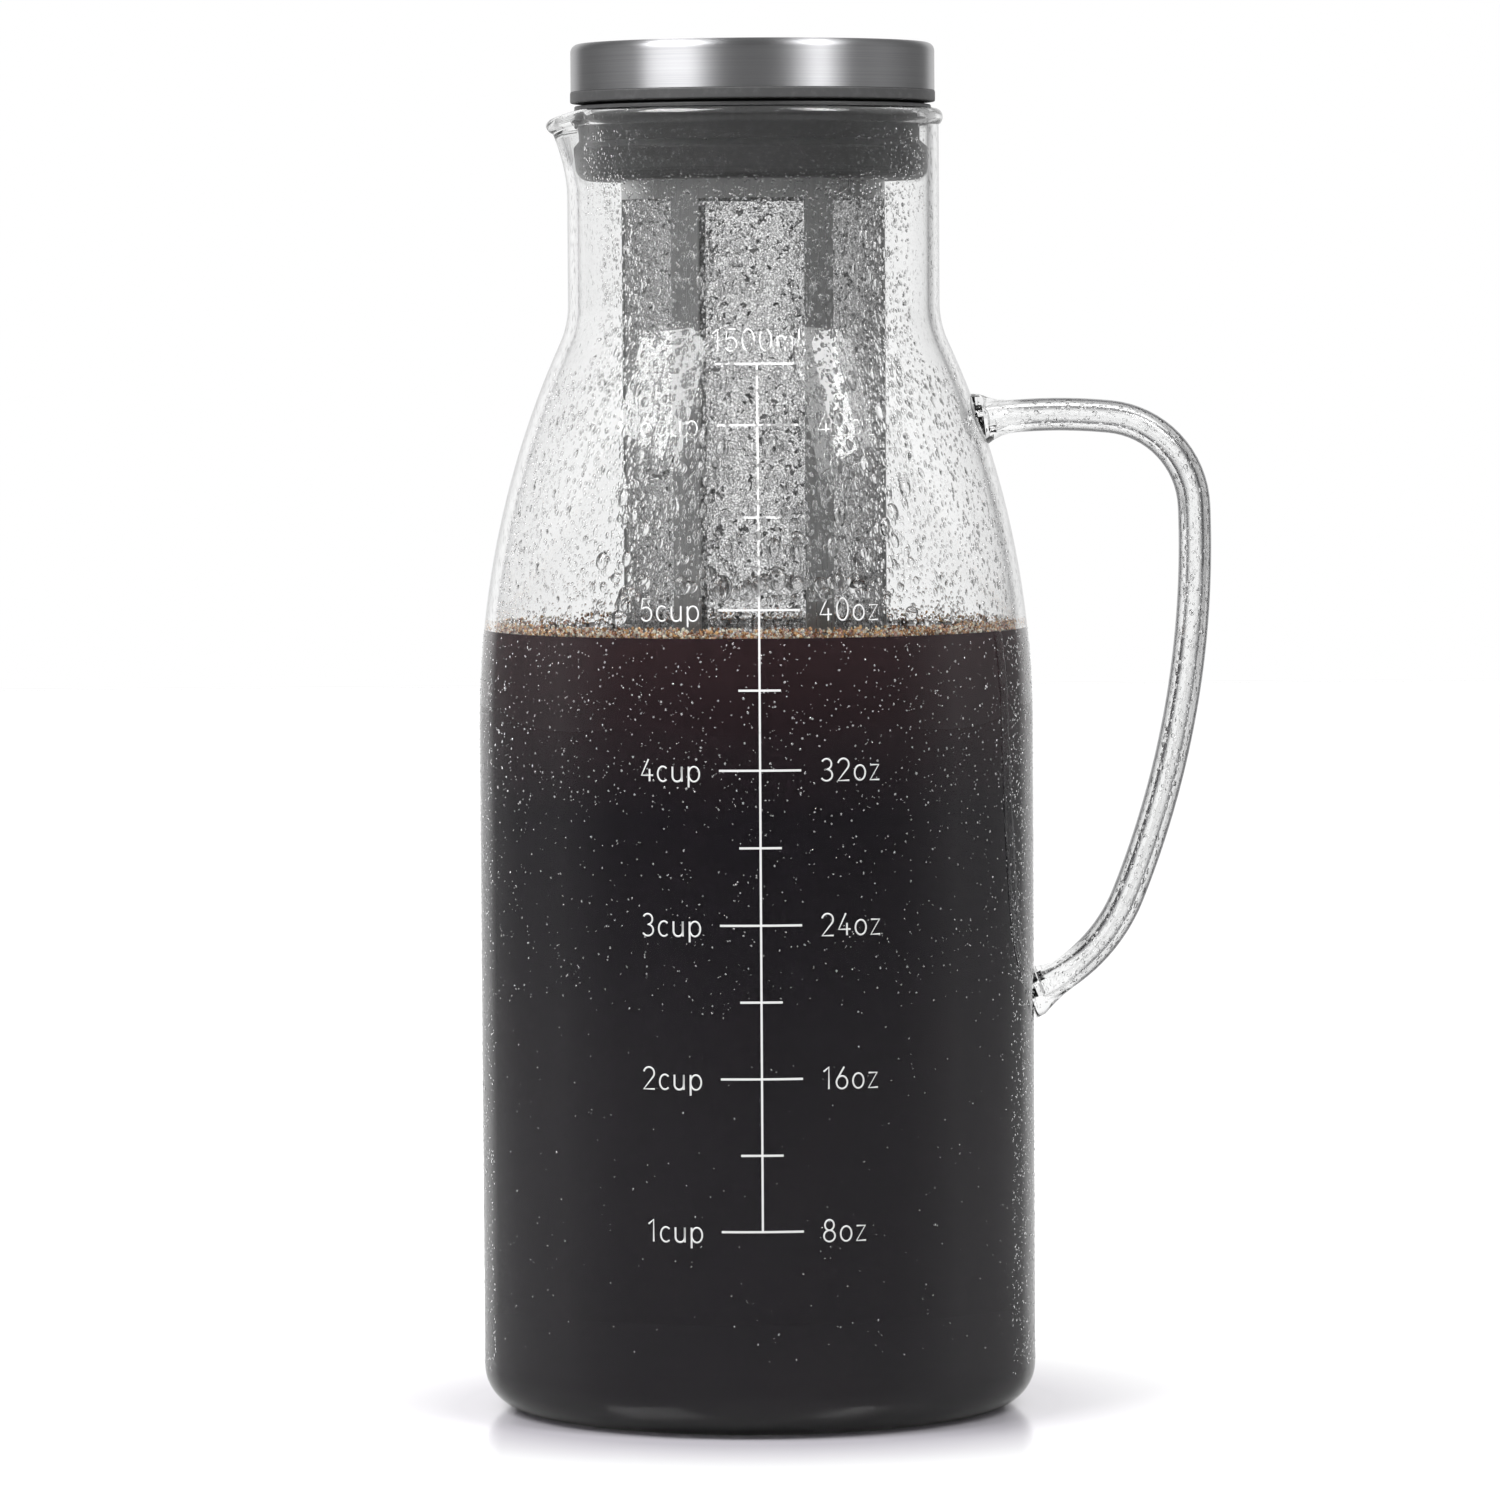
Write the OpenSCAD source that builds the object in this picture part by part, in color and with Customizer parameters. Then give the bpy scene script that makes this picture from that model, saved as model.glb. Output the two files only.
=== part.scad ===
// Cold brew coffee maker: a glass jug with a pinched pouring lip and a fused hollow handle,
// a steel filter that hangs from a silicone stopper in the neck, and a steel-topped lid
// that plugs into the filter.
// Millimetres. Z is up and the origin is the centre of the base. The pouring lip points
// to -X, the handle to +X and the printed scale to -Y.

/* [Glass jug] */
// Outer diameter of the straight part
body_d = 106.4; // [102:0.2:110]
// Height to the top of the rim
body_h = 249.4; // [244:0.2:262]
// Thickness of the glass wall
wall = 2; // [1.6:0.1:2.2]
// Thickness of the floor
floor_t = 4; // [3:0.5:7]
// Outer radius of the corner between floor and wall
base_corner = 8; // [3:0.5:10]
// Height where the shoulder starts to draw in
shoulder_z = 132; // [124:1:134]
// Radius of the shoulder's long curve
shoulder_r = 175; // [160:1:190]
// Outer diameter of the neck
neck_d = 71.4; // [70.4:0.2:76]
// Radius of the hollow curve between shoulder and neck
neck_fillet = 18; // [8:1:24]

/* [Pouring lip] */
// How far the lip reaches past the rolled rim
spout_reach = 3.2; // [2:0.1:6]
// Half of the angle that the lip takes of the rim
spout_half_angle = 25; // [18:1:34]
// Height over which the neck flares into the lip
spout_h = 16.4; // [12:0.2:20]
// How far the lip's tip drops below the rim
spout_drop = 1.6; // [0:0.1:2.4]
// How far the rolled rim stands proud of the neck
rim_bead = 0.8; // [0.2:0.05:1]

/* [Handle] */
// Reach of the handle from the jug's axis
handle_reach = 87.8; // [84:0.2:94]
// Height of the handle's outermost point
handle_mid_z = 165.7; // [160:0.5:170]
// Thickness of the handle tube, seen from the front
handle_t = 6.3; // [5:0.1:7.5]
// Width of the handle tube, seen from its edge
handle_w = 9.6; // [7:0.2:12]
// Wall of the hollow handle tube
handle_wall = 1.2; // [0.8:0.1:1.6]
// How much the feet of the handle swell where they fuse to the glass
foot_swell = 0.68; // [0.3:0.02:0.9]

/* [Printed scale] */
// Width of the printed lines
print_w = 0.4; // [0.3:0.1:1]
// Thickness of the enamel on the glass
print_t = 0.1; // [0.06:0.02:0.2]
// Length of the long marks
long_mark = 15.3; // [10:0.1:18]
// Length of the short marks
short_mark = 7.9; // [4:0.1:9]

/* [Stopper] */
// Gap between the stopper's sealing bulge and the neck
stopper_gap = 0.2; // [0.1:0.05:0.5]
// Height of the stopper below the rim
stopper_h = 13.6; // [11:0.2:16]
// How far the stopper's lip stands above the rim
stopper_lip = 0.75; // [0.5:0.05:0.9]

/* [Filter] */
// Outer diameter of the filter tube
filter_d = 50.6; // [46:0.2:51]
// Length of the filter below the rim
filter_l = 199.4; // [150:0.2:215]
// Thickness of the filter's sheet steel
sheet = 0.5; // [0.4:0.05:0.6]
// Number of long windows round the filter
windows = 6; // [4:1:8]
// Width of the solid rib between two windows
rib_w = 6; // [4:0.5:9]
// Turn of the filter about the jug's axis
filter_turn = -1.5; // [-30:0.5:30]

/* [Lid] */
// Outer diameter of the lid's steel cap
cap_d = 69.8; // [68:0.2:72]
// Height of the steel cap's side
cap_h = 9.15; // [7:0.05:14]
// Radius of the cap's top edge
cap_edge = 1.6; // [0.8:0.1:3]
// Thickness of the black seal under the cap
seal_t = 2.55; // [1.6:0.05:3]
// Gap between that seal and the stopper
seal_gap = 0.15; // [0.1:0.05:1]
// Depth of the plug inside the filter's mouth
plug_h = 10; // [8:0.5:14]

/* [Hidden] */
round_fn = 180;

// Glass jug
body_r = body_d / 2;
neck_r = neck_d / 2;
bore_r = neck_r - wall;                 // inside of the neck
lip_z = body_h - spout_h;               // where the lip starts to flare
inner_corner = 8;                       // radius between floor and wall, inside
shoulder_c = [body_r - shoulder_r, shoulder_z];
fillet_dx = neck_r + neck_fillet - shoulder_c[0];
fillet_dz = sqrt(pow(shoulder_r + neck_fillet, 2) - pow(fillet_dx, 2));
fillet_c = [neck_r + neck_fillet, shoulder_z + fillet_dz];
shoulder_a = atan2(fillet_dz, fillet_dx);  // where the shoulder meets the hollow curve

// Rim and lip
lip_sides = 96;
rim_half_w = (wall + rim_bead) / 2;
rim_half_h = 1.65;
rim_from = -acos((wall - rim_bead) / (wall + rim_bead));  // where the bead leaves the neck

// Handle: four arcs, each tangent to the next. The angles are those of the arcs' radii.
top_r = 103;                            // the gently crowned top run
corner_r = 18;                          // the upper corner
back_r = 181;                           // the long back
low_r = 33;                             // the return to the wall
corner_from = 84.3;
corner_to = 2.3;
back_to = -22;
foot_sink = 1.2;                        // the tube's ends start this far inside the wall
foot_run = 6.5;                         // length of the swelling at each foot
upper_foot_x = 43.4;                    // the shoulder's radius where the upper foot stands
tube_sides = 28;
bore_sides = 20;
back_c = [handle_reach - handle_t / 2 - back_r, handle_mid_z];
corner_c = back_c + (back_r - corner_r) * [cos(corner_to), sin(corner_to)];
top_c = corner_c - (top_r - corner_r) * [cos(corner_from), sin(corner_from)];
low_c = back_c + (back_r - low_r) * [cos(back_to), sin(back_to)];

// Printed scale: heights of the long marks, from one cup up to the full mark
cup_marks = [39.2, 67.8, 96.5, 125.4, 155.2, 189.5];
full_mark = 200.9;
print_angle = 24;

// Stopper
lip_over = 0.5;                         // how far its lip reaches over the rounded rim
lip_clear = 0.1;                        // between that lip and the rim
lip_r = bore_r + lip_over;
lip_low = body_h + lip_clear
    - rim_half_h * (1 - sqrt(1 - pow(1 - lip_over / rim_half_w, 2)));
lip_top = body_h + stopper_lip;
stopper_r = bore_r - stopper_gap;
waist_r = bore_r - 1.7;
bulge_h = 6.6;
bulge_edge = 2.2;
stopper_bottom = body_h - stopper_h;
flange_t = 0.6;
flange_r = filter_d / 2 + 3.7;
seat_z = body_h - flange_t;             // the filter's flange rests here
seat_clear = 0.2;

// Filter, from the outside in: frame, then collar above and mesh below
filter_r = filter_d / 2;
filter_bottom = body_h - filter_l;
frame_in = filter_r - sheet;
collar_in = frame_in - flange_t;
collar_h = 11;
mesh_t = 0.2;
base_h = 8;
base_edge = 2;
base_dome = 1.5;
tube_bottom = filter_bottom + base_edge;  // the frame and the mesh stand on the base's corner
window_top = body_h - 17.2;
window_bottom = filter_bottom + base_h + 2;
window_angle = 360 / windows - 360 * rib_w / (2 * PI * filter_r);

// Lid
cap_r = cap_d / 2;
gasket_r = cap_r + 0.1;
gasket_z = lip_top + seal_gap;
gasket_bevel = 0.4;                     // the seal's underside rises this much to its edge
cap_z = gasket_z + seal_t;
cap_top = cap_z + cap_h;
cap_in = cap_r - sheet;
core_wall = 2;
hub_r = 8;
hub_ledge = 1;                          // step round the core's hub
plug_r = collar_in - 1;
plug_wall = 2;
plug_flange_r = flange_r - 0.6;
plug_clear = 0.15;                      // between the lid and the filter's flange
plug_top = body_h + plug_clear;
plug_bottom = body_h - plug_h;
seal_ring = 0.9;
seal_rings = [0.34, 0.72];              // places along the plug
spigot_r = 12;

// Points of an arc about c, of radius r, from angle a to angle b, in n steps.
function arc(c, r, a, b, n) =
    [for (i = [0:n]) c + r * [cos(a + (b - a) * i / n), sin(a + (b - a) * i / n)]];

// The same points turned round.
function backward(pts) = [for (i = [len(pts) - 1:-1:0]) pts[i]];

// Outline of the glass shoulder from the straight wall up to the neck, moved out by t.
function shoulder_side(t) = concat(
    arc(shoulder_c, shoulder_r + t, 0, shoulder_a, 24),
    arc(fillet_c, neck_fillet - t, 180 + shoulder_a, 180, 8)
);

// Outline of the whole glass from the floor's edge up to the neck, moved out by t.
function glass_side(t) = concat(
    arc([body_r - base_corner, base_corner], base_corner + t, -90, 0, 10),
    shoulder_side(t)
);

// ---------------------------------------------------------------- glass jug

// Share of the lip's reach at angle a round the rim: 1 at the tip, 0 where it ends.
function lip_share(a) =
    let (off = abs(a - 180) / spout_half_angle)
    off >= 1 ? 0 : pow((1 + cos(180 * off)) / 2, 0.85);

// How far the neck has flared at height z. The flare is full from the height top upwards.
function lip_flare(z, top) = spout_reach * pow(max(0, min(1, (z - lip_z) / (top - lip_z))), 1.8);

// Section through the neck and its rolled rim, outside first, for the share g.
function lip_section(g) =
    let (
        top = body_h - spout_drop * g,
        roll = [bore_r + rim_half_w, top - rim_half_h],
        low = roll[1] + rim_half_h * sin(rim_from),
        plain = concat(
            [[neck_r, fillet_c[1]]],
            [for (t = [0:0.125:0.9]) [neck_r, lip_z + t * (low - lip_z)]],
            [for (i = [0:10])
                let (a = rim_from + (180 - rim_from) * i / 10)
                [roll[0] + rim_half_w * cos(a), roll[1] + rim_half_h * sin(a)]],
            [for (t = [0.8:-0.2:-0.01]) [bore_r, lip_z + t * (roll[1] - lip_z)]],
            [[bore_r, fillet_c[1]]]
        )
    )
    [for (p = plain) [p[0] + g * lip_flare(p[1], roll[1]), p[1]]];

// The cylindrical part of the jug, with its floor.
module carafe_body() {
    inner_c = [body_r - wall - inner_corner, floor_t + inner_corner];
    color("azure", 0.45)
    rotate_extrude($fn = round_fn)
        polygon(concat(
            [[0, 0]],
            arc([body_r - base_corner, base_corner], base_corner, -90, 0, 10),
            [[body_r, shoulder_z], [body_r - wall, shoulder_z]],
            arc(inner_c, inner_corner, 0, -90, 10),
            [[0, floor_t]]
        ));
}

// The shoulder that draws the jug in to its neck.
module carafe_shoulder() {
    color("azure", 0.45)
    rotate_extrude($fn = round_fn)
        polygon(concat(shoulder_side(0), backward(shoulder_side(-wall))));
}

// The neck with its rolled rim and pouring lip: one section swept round the axis.
module carafe_neck() {
    sections = [for (i = [0:lip_sides - 1]) lip_section(lip_share(i * 360 / lip_sides))];
    m = len(sections[0]);
    points = [for (i = [0:lip_sides - 1]) for (p = sections[i])
        [p[0] * cos(i * 360 / lip_sides), p[0] * sin(i * 360 / lip_sides), p[1]]];
    faces = [for (i = [0:lip_sides - 1]) for (j = [0:m - 1])
        let (
            a = i * m + j,
            b = i * m + (j + 1) % m,
            c = ((i + 1) % lip_sides) * m + (j + 1) % m,
            d = ((i + 1) % lip_sides) * m + j
        )
        each [[a, b, c], [a, c, d]]];
    color("azure", 0.45)
    polyhedron(points, faces, convexity = 6);
}

// ---------------------------------------------------------------- handle

// Stations along an arc of the handle: [x, z, angle of the outward normal].
function stations(c, r, a, b, n) =
    [for (i = [0:n])
        let (t = a + (b - a) * i / n)
        [c[0] + r * cos(t), c[1] + r * sin(t), t]];

// All stations from the upper foot to the lower one. Each foot starts sunk in the wall.
function handle_path(sink) =
    let (
        first = acos((upper_foot_x - sink - top_c[0]) / top_r),
        last = -acos((body_r - sink - low_c[0]) / low_r)
    )
    concat(
        stations(top_c, top_r, first, first - 4, 5),
        stations(top_c, top_r, first - 5.2, corner_from + 2, 3),
        stations(corner_c, corner_r, corner_from, corner_to, 11),
        stations(back_c, back_r, corner_to - 2, back_to + 2, 9),
        stations(low_c, low_r, back_to, last + 14, 4),
        stations(low_c, low_r, last + 11, last, 5)
    );
// Swelling of the tube at a station, 1 on the free run.
function swell(p) =
    let (foot = p[1] > handle_mid_z ? upper_foot_x : body_r)
    1 + foot_swell * pow(max(0, 1 - max(0, p[0] - foot) / foot_run), 2);

// A tube through the stations, oval in section, closed at both ends.
module oval_tube(path, half_t, half_w, sides, swelling) {
    points = [for (p = path) for (k = [0:sides - 1])
        let (
            u = 360 * k / sides,
            s = swelling ? swell(p) : 1,
            n = half_t * s * cos(u)
        )
        [p[0] + n * cos(p[2]), half_w * s * sin(u), p[1] + n * sin(p[2])]];
    last = (len(path) - 1) * sides;
    faces = concat(
        [[for (k = [sides - 1:-1:0]) k]],
        [for (i = [0:len(path) - 2]) for (k = [0:sides - 1])
            let (
                a = i * sides + k,
                b = i * sides + (k + 1) % sides
            )
            each [[a, b + sides, a + sides], [a, b, b + sides]]],
        [[for (k = [0:sides - 1]) last + k]]
    );
    polyhedron(points, faces, convexity = 6);
}

// The hollow handle, cut to the glass that its feet are fused to.
module carafe_handle() {
    color("azure", 0.6)
    difference() {
        oval_tube(handle_path(foot_sink), handle_t / 2, handle_w / 2, tube_sides, true);
        oval_tube(handle_path(-0.9), handle_t / 2 - handle_wall, handle_w / 2 - handle_wall,
            bore_sides, false);
        rotate_extrude($fn = round_fn)
            polygon(concat([[0, 0]], glass_side(0), [[neck_r, lip_z], [0, lip_z]]));
    }
}

// ---------------------------------------------------------------- printed scale

// One printed line, drawn through the glass: width w and height h about a point at height z.
module print_line(w, h, z) {
    translate([-w / 2, -body_r - 5, z - h / 2])
        cube([w, body_r, h]);
}

module graduation_scale() {
    half_marks = [for (i = [0:len(cup_marks) - 2]) (cup_marks[i] + cup_marks[i + 1]) / 2];
    color("white")
    intersection() {
        rotate([0, 0, -90 - print_angle / 2])
            rotate_extrude(angle = print_angle, $fn = round_fn)
                polygon(concat(glass_side(print_t), backward(glass_side(0))));
        union() {
            print_line(print_w, full_mark - cup_marks[0], (full_mark + cup_marks[0]) / 2);
            for (z = concat(cup_marks, [full_mark]))
                print_line(long_mark, print_w, z);
            for (z = half_marks)
                print_line(short_mark, print_w, z);
        }
    }
}

// ---------------------------------------------------------------- filter unit

module neck_stopper() {
    edge = 0.3;
    bulge_top = stopper_bottom + bulge_h;
    color("dimgray")
    rotate_extrude($fn = round_fn)
        polygon(concat(
            [[filter_r, stopper_bottom]],
            arc([stopper_r - bulge_edge, stopper_bottom + bulge_edge], bulge_edge, -90, 0, 6),
            arc([stopper_r - 0.8, bulge_top - 0.8], 0.8, 0, 60, 3),
            [[waist_r, bulge_top + 0.9], [waist_r, lip_low]],
            arc([lip_r - edge, lip_low + edge], edge, -90, 0, 3),
            arc([lip_r - edge, lip_top - edge], edge, 0, 90, 3),
            [[flange_r + seat_clear, lip_top], [flange_r + seat_clear, seat_z], [filter_r, seat_z]]
        ));
}

module filter_collar() {
    color("darkgray")
    rotate_extrude($fn = round_fn)
        polygon([
            [collar_in, body_h - collar_h],
            [frame_in, body_h - collar_h],
            [frame_in, seat_z],
            [flange_r, seat_z],
            [flange_r, body_h],
            [collar_in, body_h]
        ]);
}

// A wedge that reaches past the filter tube, from window_bottom to window_top.
module window_cut() {
    far = filter_r + 6;
    half = window_angle / 2;
    translate([0, 0, window_bottom])
        linear_extrude(window_top - window_bottom)
            polygon([[0, 0], far * [cos(half), -sin(half)], far * [cos(half), sin(half)]]);
}

module filter_frame() {
    color("silver")
    difference() {
        translate([0, 0, tube_bottom])
            cylinder(r = filter_r, h = seat_z - tube_bottom, $fn = round_fn);
        translate([0, 0, filter_bottom])
            cylinder(r = frame_in, h = filter_l, $fn = round_fn);
        for (i = [0:windows - 1])
            rotate([0, 0, filter_turn - 90 + i * 360 / windows])
                window_cut();
    }
}

module filter_mesh() {
    color("gainsboro", 0.7)
    translate([0, 0, tube_bottom])
    difference() {
        cylinder(r = frame_in, h = body_h - collar_h - tube_bottom, $fn = round_fn);
        translate([0, 0, -1])
            cylinder(r = frame_in - mesh_t, h = filter_l, $fn = round_fn);
    }
}

// The pressed cup that closes the filter. Its floor domes up a little in the middle.
module filter_base() {
    out = filter_r + sheet;
    dome_r = (pow(out - base_edge, 2) + pow(base_dome, 2)) / (2 * base_dome);
    dome_a = asin((out - base_edge) / dome_r);
    dome_c = [0, filter_bottom + base_dome - dome_r];
    color("silver")
    rotate_extrude($fn = round_fn)
        polygon(concat(
            backward(arc(dome_c, dome_r, 90 - dome_a, 90, 6)),
            arc([out - base_edge, filter_bottom + base_edge], base_edge, -90, 0, 6),
            [[out, filter_bottom + base_h], [filter_r, filter_bottom + base_h]],
            arc([out - base_edge, filter_bottom + base_edge], base_edge - sheet, 0, -90, 6),
            arc(dome_c, dome_r + sheet, 90 - dome_a, 90, 6)
        ));
}

// ---------------------------------------------------------------- lid

// The drawn steel cap: a shallow shell with a rounded top edge.
module lid_cap() {
    color("silver")
    rotate_extrude($fn = round_fn)
        polygon(concat(
            [[0, cap_top], [0, cap_top - sheet]],
            arc([cap_r - cap_edge, cap_top - cap_edge], cap_edge - sheet, 90, 0, 6),
            [[cap_in, cap_z], [cap_r, cap_z]],
            arc([cap_r - cap_edge, cap_top - cap_edge], cap_edge, 0, 90, 8)
        ));
}

// The moulded core that carries the cap: a plate, a rim, a hub and ribs between them.
module lid_core() {
    rib_t = 1.6;
    hub_top = cap_top - sheet - 0.1;
    rim_top = cap_top - cap_edge;
    color("#303234")
    translate([0, 0, cap_z])
    difference() {
        union() {
            cylinder(r = cap_in, h = rim_top - cap_z, $fn = round_fn);
            cylinder(r = hub_r, h = hub_top - cap_z, $fn = round_fn);
        }
        for (i = [0:5])
            rotate([0, 0, i * 60])
                translate([0, 0, core_wall])
                    linear_extrude(cap_h)
                        core_pocket(rib_t);
    }
}

// The hollow between two ribs of the core, seen from above.
module core_pocket(rib_t) {
    far = cap_in - core_wall;
    intersection() {
        difference() {
            circle(r = far, $fn = round_fn);
            circle(r = hub_r + hub_ledge, $fn = round_fn);
        }
        translate(rib_t * [1, tan(30)])
            polygon([[0, 0], [2 * far, 0], [2 * far, 2 * far * tan(60)]]);
    }
}

module lid_gasket() {
    edge = 0.3;
    low = gasket_z + gasket_bevel;
    color("#3a3a3c")
    rotate_extrude($fn = round_fn)
        polygon(concat(
            [[spigot_r, gasket_z], [gasket_r - 4.5, gasket_z]],
            arc([gasket_r - edge, low + edge], edge, -84, 0, 3),
            arc([gasket_r - edge, cap_z - edge], edge, 0, 90, 3),
            [[spigot_r, cap_z]]
        ));
}

// The hollow plug under the lid, with a groove for each of its two seal rings.
module lid_plug() {
    color("#303234")
    difference() {
        union() {
            translate([0, 0, plug_top])
                cylinder(r = plug_flange_r, h = gasket_z - plug_top, $fn = round_fn);
            translate([0, 0, plug_bottom])
                cylinder(r = plug_r, h = plug_top + 0.5 - plug_bottom, $fn = round_fn);
            translate([0, 0, gasket_z - 0.5])
                cylinder(r = spigot_r, h = seal_t + 0.5, $fn = round_fn);
        }
        translate([0, 0, plug_bottom + plug_wall])
            cylinder(r = spigot_r - plug_wall, h = cap_z, $fn = round_fn);
        translate([0, 0, plug_bottom + plug_wall])
            cylinder(r = plug_r - plug_wall - seal_ring, h = plug_h - plug_wall, $fn = round_fn);
        for (t = seal_rings)
            translate([0, 0, plug_bottom + t * plug_h - seal_ring])
                difference() {
                    cylinder(r = plug_r + 1, h = 2 * seal_ring, $fn = round_fn);
                    translate([0, 0, -1])
                        cylinder(r = plug_r - seal_ring, h = 4, $fn = round_fn);
                }
    }
}

module plug_seals() {
    color("#3a3a3c")
    for (t = seal_rings)
        translate([0, 0, plug_bottom + t * plug_h])
            rotate_extrude($fn = round_fn)
                translate([plug_r, 0])
                    circle(r = seal_ring - 0.02, $fn = 24);
}

carafe_body();
carafe_shoulder();
carafe_neck();
carafe_handle();
graduation_scale();
neck_stopper();
filter_collar();
filter_frame();
filter_mesh();
filter_base();
lid_cap();
lid_core();
lid_gasket();
lid_plug();
plug_seals();
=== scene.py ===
"""Looks of a glass cold brew coffee maker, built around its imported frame.

Every length in the classes below is in millimetres, as in the part, and turns into metres
where a mesh is made. Z is up, the pouring lip points to -X and the printed scale to -Y.
"""

import functools
import logging
import math
from dataclasses import dataclass
from enum import Enum

import bpy
import numpy as np
from mathutils import Matrix, Vector


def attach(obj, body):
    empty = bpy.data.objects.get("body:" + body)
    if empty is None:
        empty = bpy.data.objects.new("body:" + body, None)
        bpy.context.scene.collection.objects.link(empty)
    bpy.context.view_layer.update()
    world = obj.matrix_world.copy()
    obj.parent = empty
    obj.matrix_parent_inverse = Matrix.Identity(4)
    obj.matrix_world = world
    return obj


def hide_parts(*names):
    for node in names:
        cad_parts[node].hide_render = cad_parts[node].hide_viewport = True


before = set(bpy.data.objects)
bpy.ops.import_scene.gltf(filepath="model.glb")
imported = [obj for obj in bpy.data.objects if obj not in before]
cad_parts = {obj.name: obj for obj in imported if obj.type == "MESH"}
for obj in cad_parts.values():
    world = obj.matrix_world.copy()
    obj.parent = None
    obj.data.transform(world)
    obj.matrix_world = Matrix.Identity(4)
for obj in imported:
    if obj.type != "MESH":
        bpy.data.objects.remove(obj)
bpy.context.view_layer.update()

MM = 0.001
SAME_POINT = 0.002
SLACK = 1e-6
LOG = logging.getLogger("cold_brew")

CARAFE = "carafe"  # the body that carries every new piece

Point = tuple[float, float]
Colour = tuple[float, float, float]
Output = tuple[bpy.types.Node, str | int]


class Slot(Enum):
    """The material slots of the part."""

    GLASS = "clear_glass"
    ENAMEL = "white_enamel"


# ------------------------------------------------------------------ modelling tools


def clear_selection() -> None:
    """Leave edit mode and deselect every object."""
    if bpy.context.object is not None and bpy.context.object.mode != "OBJECT":
        bpy.ops.object.mode_set(mode="OBJECT")
    bpy.ops.object.select_all(action="DESELECT")


def make_active(piece: bpy.types.Object) -> None:
    """Select one object and make it the active one.

    Args:
        piece: The object that the next operators act on.
    """
    clear_selection()
    piece.select_set(True)
    bpy.context.view_layer.objects.active = piece


def arc(centre: Point, radius: float, start: float, end: float, steps: int) -> list[Point]:
    """Give the points of an arc.

    Args:
        centre: Centre of the arc, as radius from the axis and height.
        radius: Radius of the arc.
        start: First angle, in degrees.
        end: Last angle, in degrees.
        steps: Number of equal steps.

    Returns:
        The points, both ends among them.
    """
    angles = [math.radians(start + (end - start) * i / steps) for i in range(steps + 1)]
    return [(centre[0] + radius * math.cos(a), centre[1] + radius * math.sin(a)) for a in angles]


def heading(angle: float) -> np.ndarray:
    """Give the unit vector at an angle in radians."""
    return np.array([math.cos(angle), math.sin(angle)])


def close_pole() -> None:
    """Close the selected ring with a fan of faces that meet in its middle."""
    bpy.ops.mesh.extrude_region_move()
    bpy.ops.mesh.merge(type="CENTER")


def lathe(name: str, outline: list[Point], sides: int) -> bpy.types.Object:
    """Turn an outline about the Z axis by extruding and scaling a ring.

    Args:
        name: Name of the new piece.
        outline: Points of radius and height, in millimetres, none of them on the axis.
        sides: Number of faces round the axis.

    Returns:
        The piece, closed at the axis at both ends, with its normals outward.
    """
    clear_selection()
    radius, height = outline[0]
    bpy.ops.mesh.primitive_circle_add(vertices=sides, radius=radius * MM, location=(0, 0, 0))
    piece = bpy.context.object
    piece.name = piece.data.name = name
    bpy.ops.object.mode_set(mode="EDIT")
    bpy.ops.transform.translate(value=(0, 0, height * MM))
    close_pole()
    select_ring(piece, radius, height)
    for next_radius, next_height in outline[1:]:
        bpy.ops.mesh.extrude_region_move(
            TRANSFORM_OT_translate={"value": (0, 0, (next_height - height) * MM)}
        )
        scale = next_radius / radius
        bpy.ops.transform.resize(
            value=(scale, scale, 1), center_override=(0, 0, next_height * MM)
        )
        radius, height = next_radius, next_height
    close_pole()
    bpy.ops.mesh.select_all(action="SELECT")
    bpy.ops.mesh.remove_doubles(threshold=SAME_POINT * MM)
    bpy.ops.mesh.normals_make_consistent(inside=False)
    bpy.ops.object.mode_set(mode="OBJECT")
    return piece


def select_ring(piece: bpy.types.Object, radius: float, height: float) -> None:
    """Select only the vertices of one ring, in edit mode.

    Args:
        piece: The object in edit mode.
        radius: Radius of the ring in millimetres.
        height: Height of the ring in millimetres.
    """
    bpy.ops.object.mode_set(mode="OBJECT")
    for part in (piece.data.polygons, piece.data.edges, piece.data.vertices):
        part.foreach_set("select", [False] * len(part))
    for vertex in piece.data.vertices:
        reach = math.hypot(vertex.co.x, vertex.co.y)
        on_ring = abs(reach - radius * MM) < SLACK
        vertex.select = on_ring and abs(vertex.co.z - height * MM) < SLACK
    bpy.ops.object.mode_set(mode="EDIT")
    bpy.ops.mesh.select_mode(type="EDGE")
    bpy.ops.mesh.select_mode(type="VERT")


def smooth(piece: bpy.types.Object, angle: float) -> None:
    """Shade a piece smooth, with its sharper edges kept.

    Args:
        piece: The object to shade.
        angle: Edges sharper than this many degrees stay crisp.
    """
    make_active(piece)
    bpy.ops.object.shade_smooth_by_angle(angle=math.radians(angle))


def positions(piece: bpy.types.Object) -> np.ndarray:
    """Read a piece's vertices as an array of N rows, in metres."""
    flat = np.empty(len(piece.data.vertices) * 3, np.float32)
    piece.data.vertices.foreach_get("co", flat)
    return flat.reshape(-1, 3).astype(float)


def set_positions(piece: bpy.types.Object, points: np.ndarray) -> None:
    """Write a piece's vertices back from an array of N rows, in metres."""
    piece.data.vertices.foreach_set("co", points.astype(np.float32).ravel())
    piece.data.update()


def boolean(target: bpy.types.Object, tool: bpy.types.Object, operation: str) -> None:
    """Apply an exact boolean and delete its tool.

    Args:
        target: The piece that is changed.
        tool: The piece that it is united with or cut by.
        operation: UNION or DIFFERENCE.
    """
    make_active(target)
    modifier = target.modifiers.new(operation.lower(), "BOOLEAN")
    modifier.operation = operation
    modifier.solver = "EXACT"
    modifier.object = tool
    bpy.ops.object.modifier_apply(modifier=modifier.name)
    bpy.data.objects.remove(tool)


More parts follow.
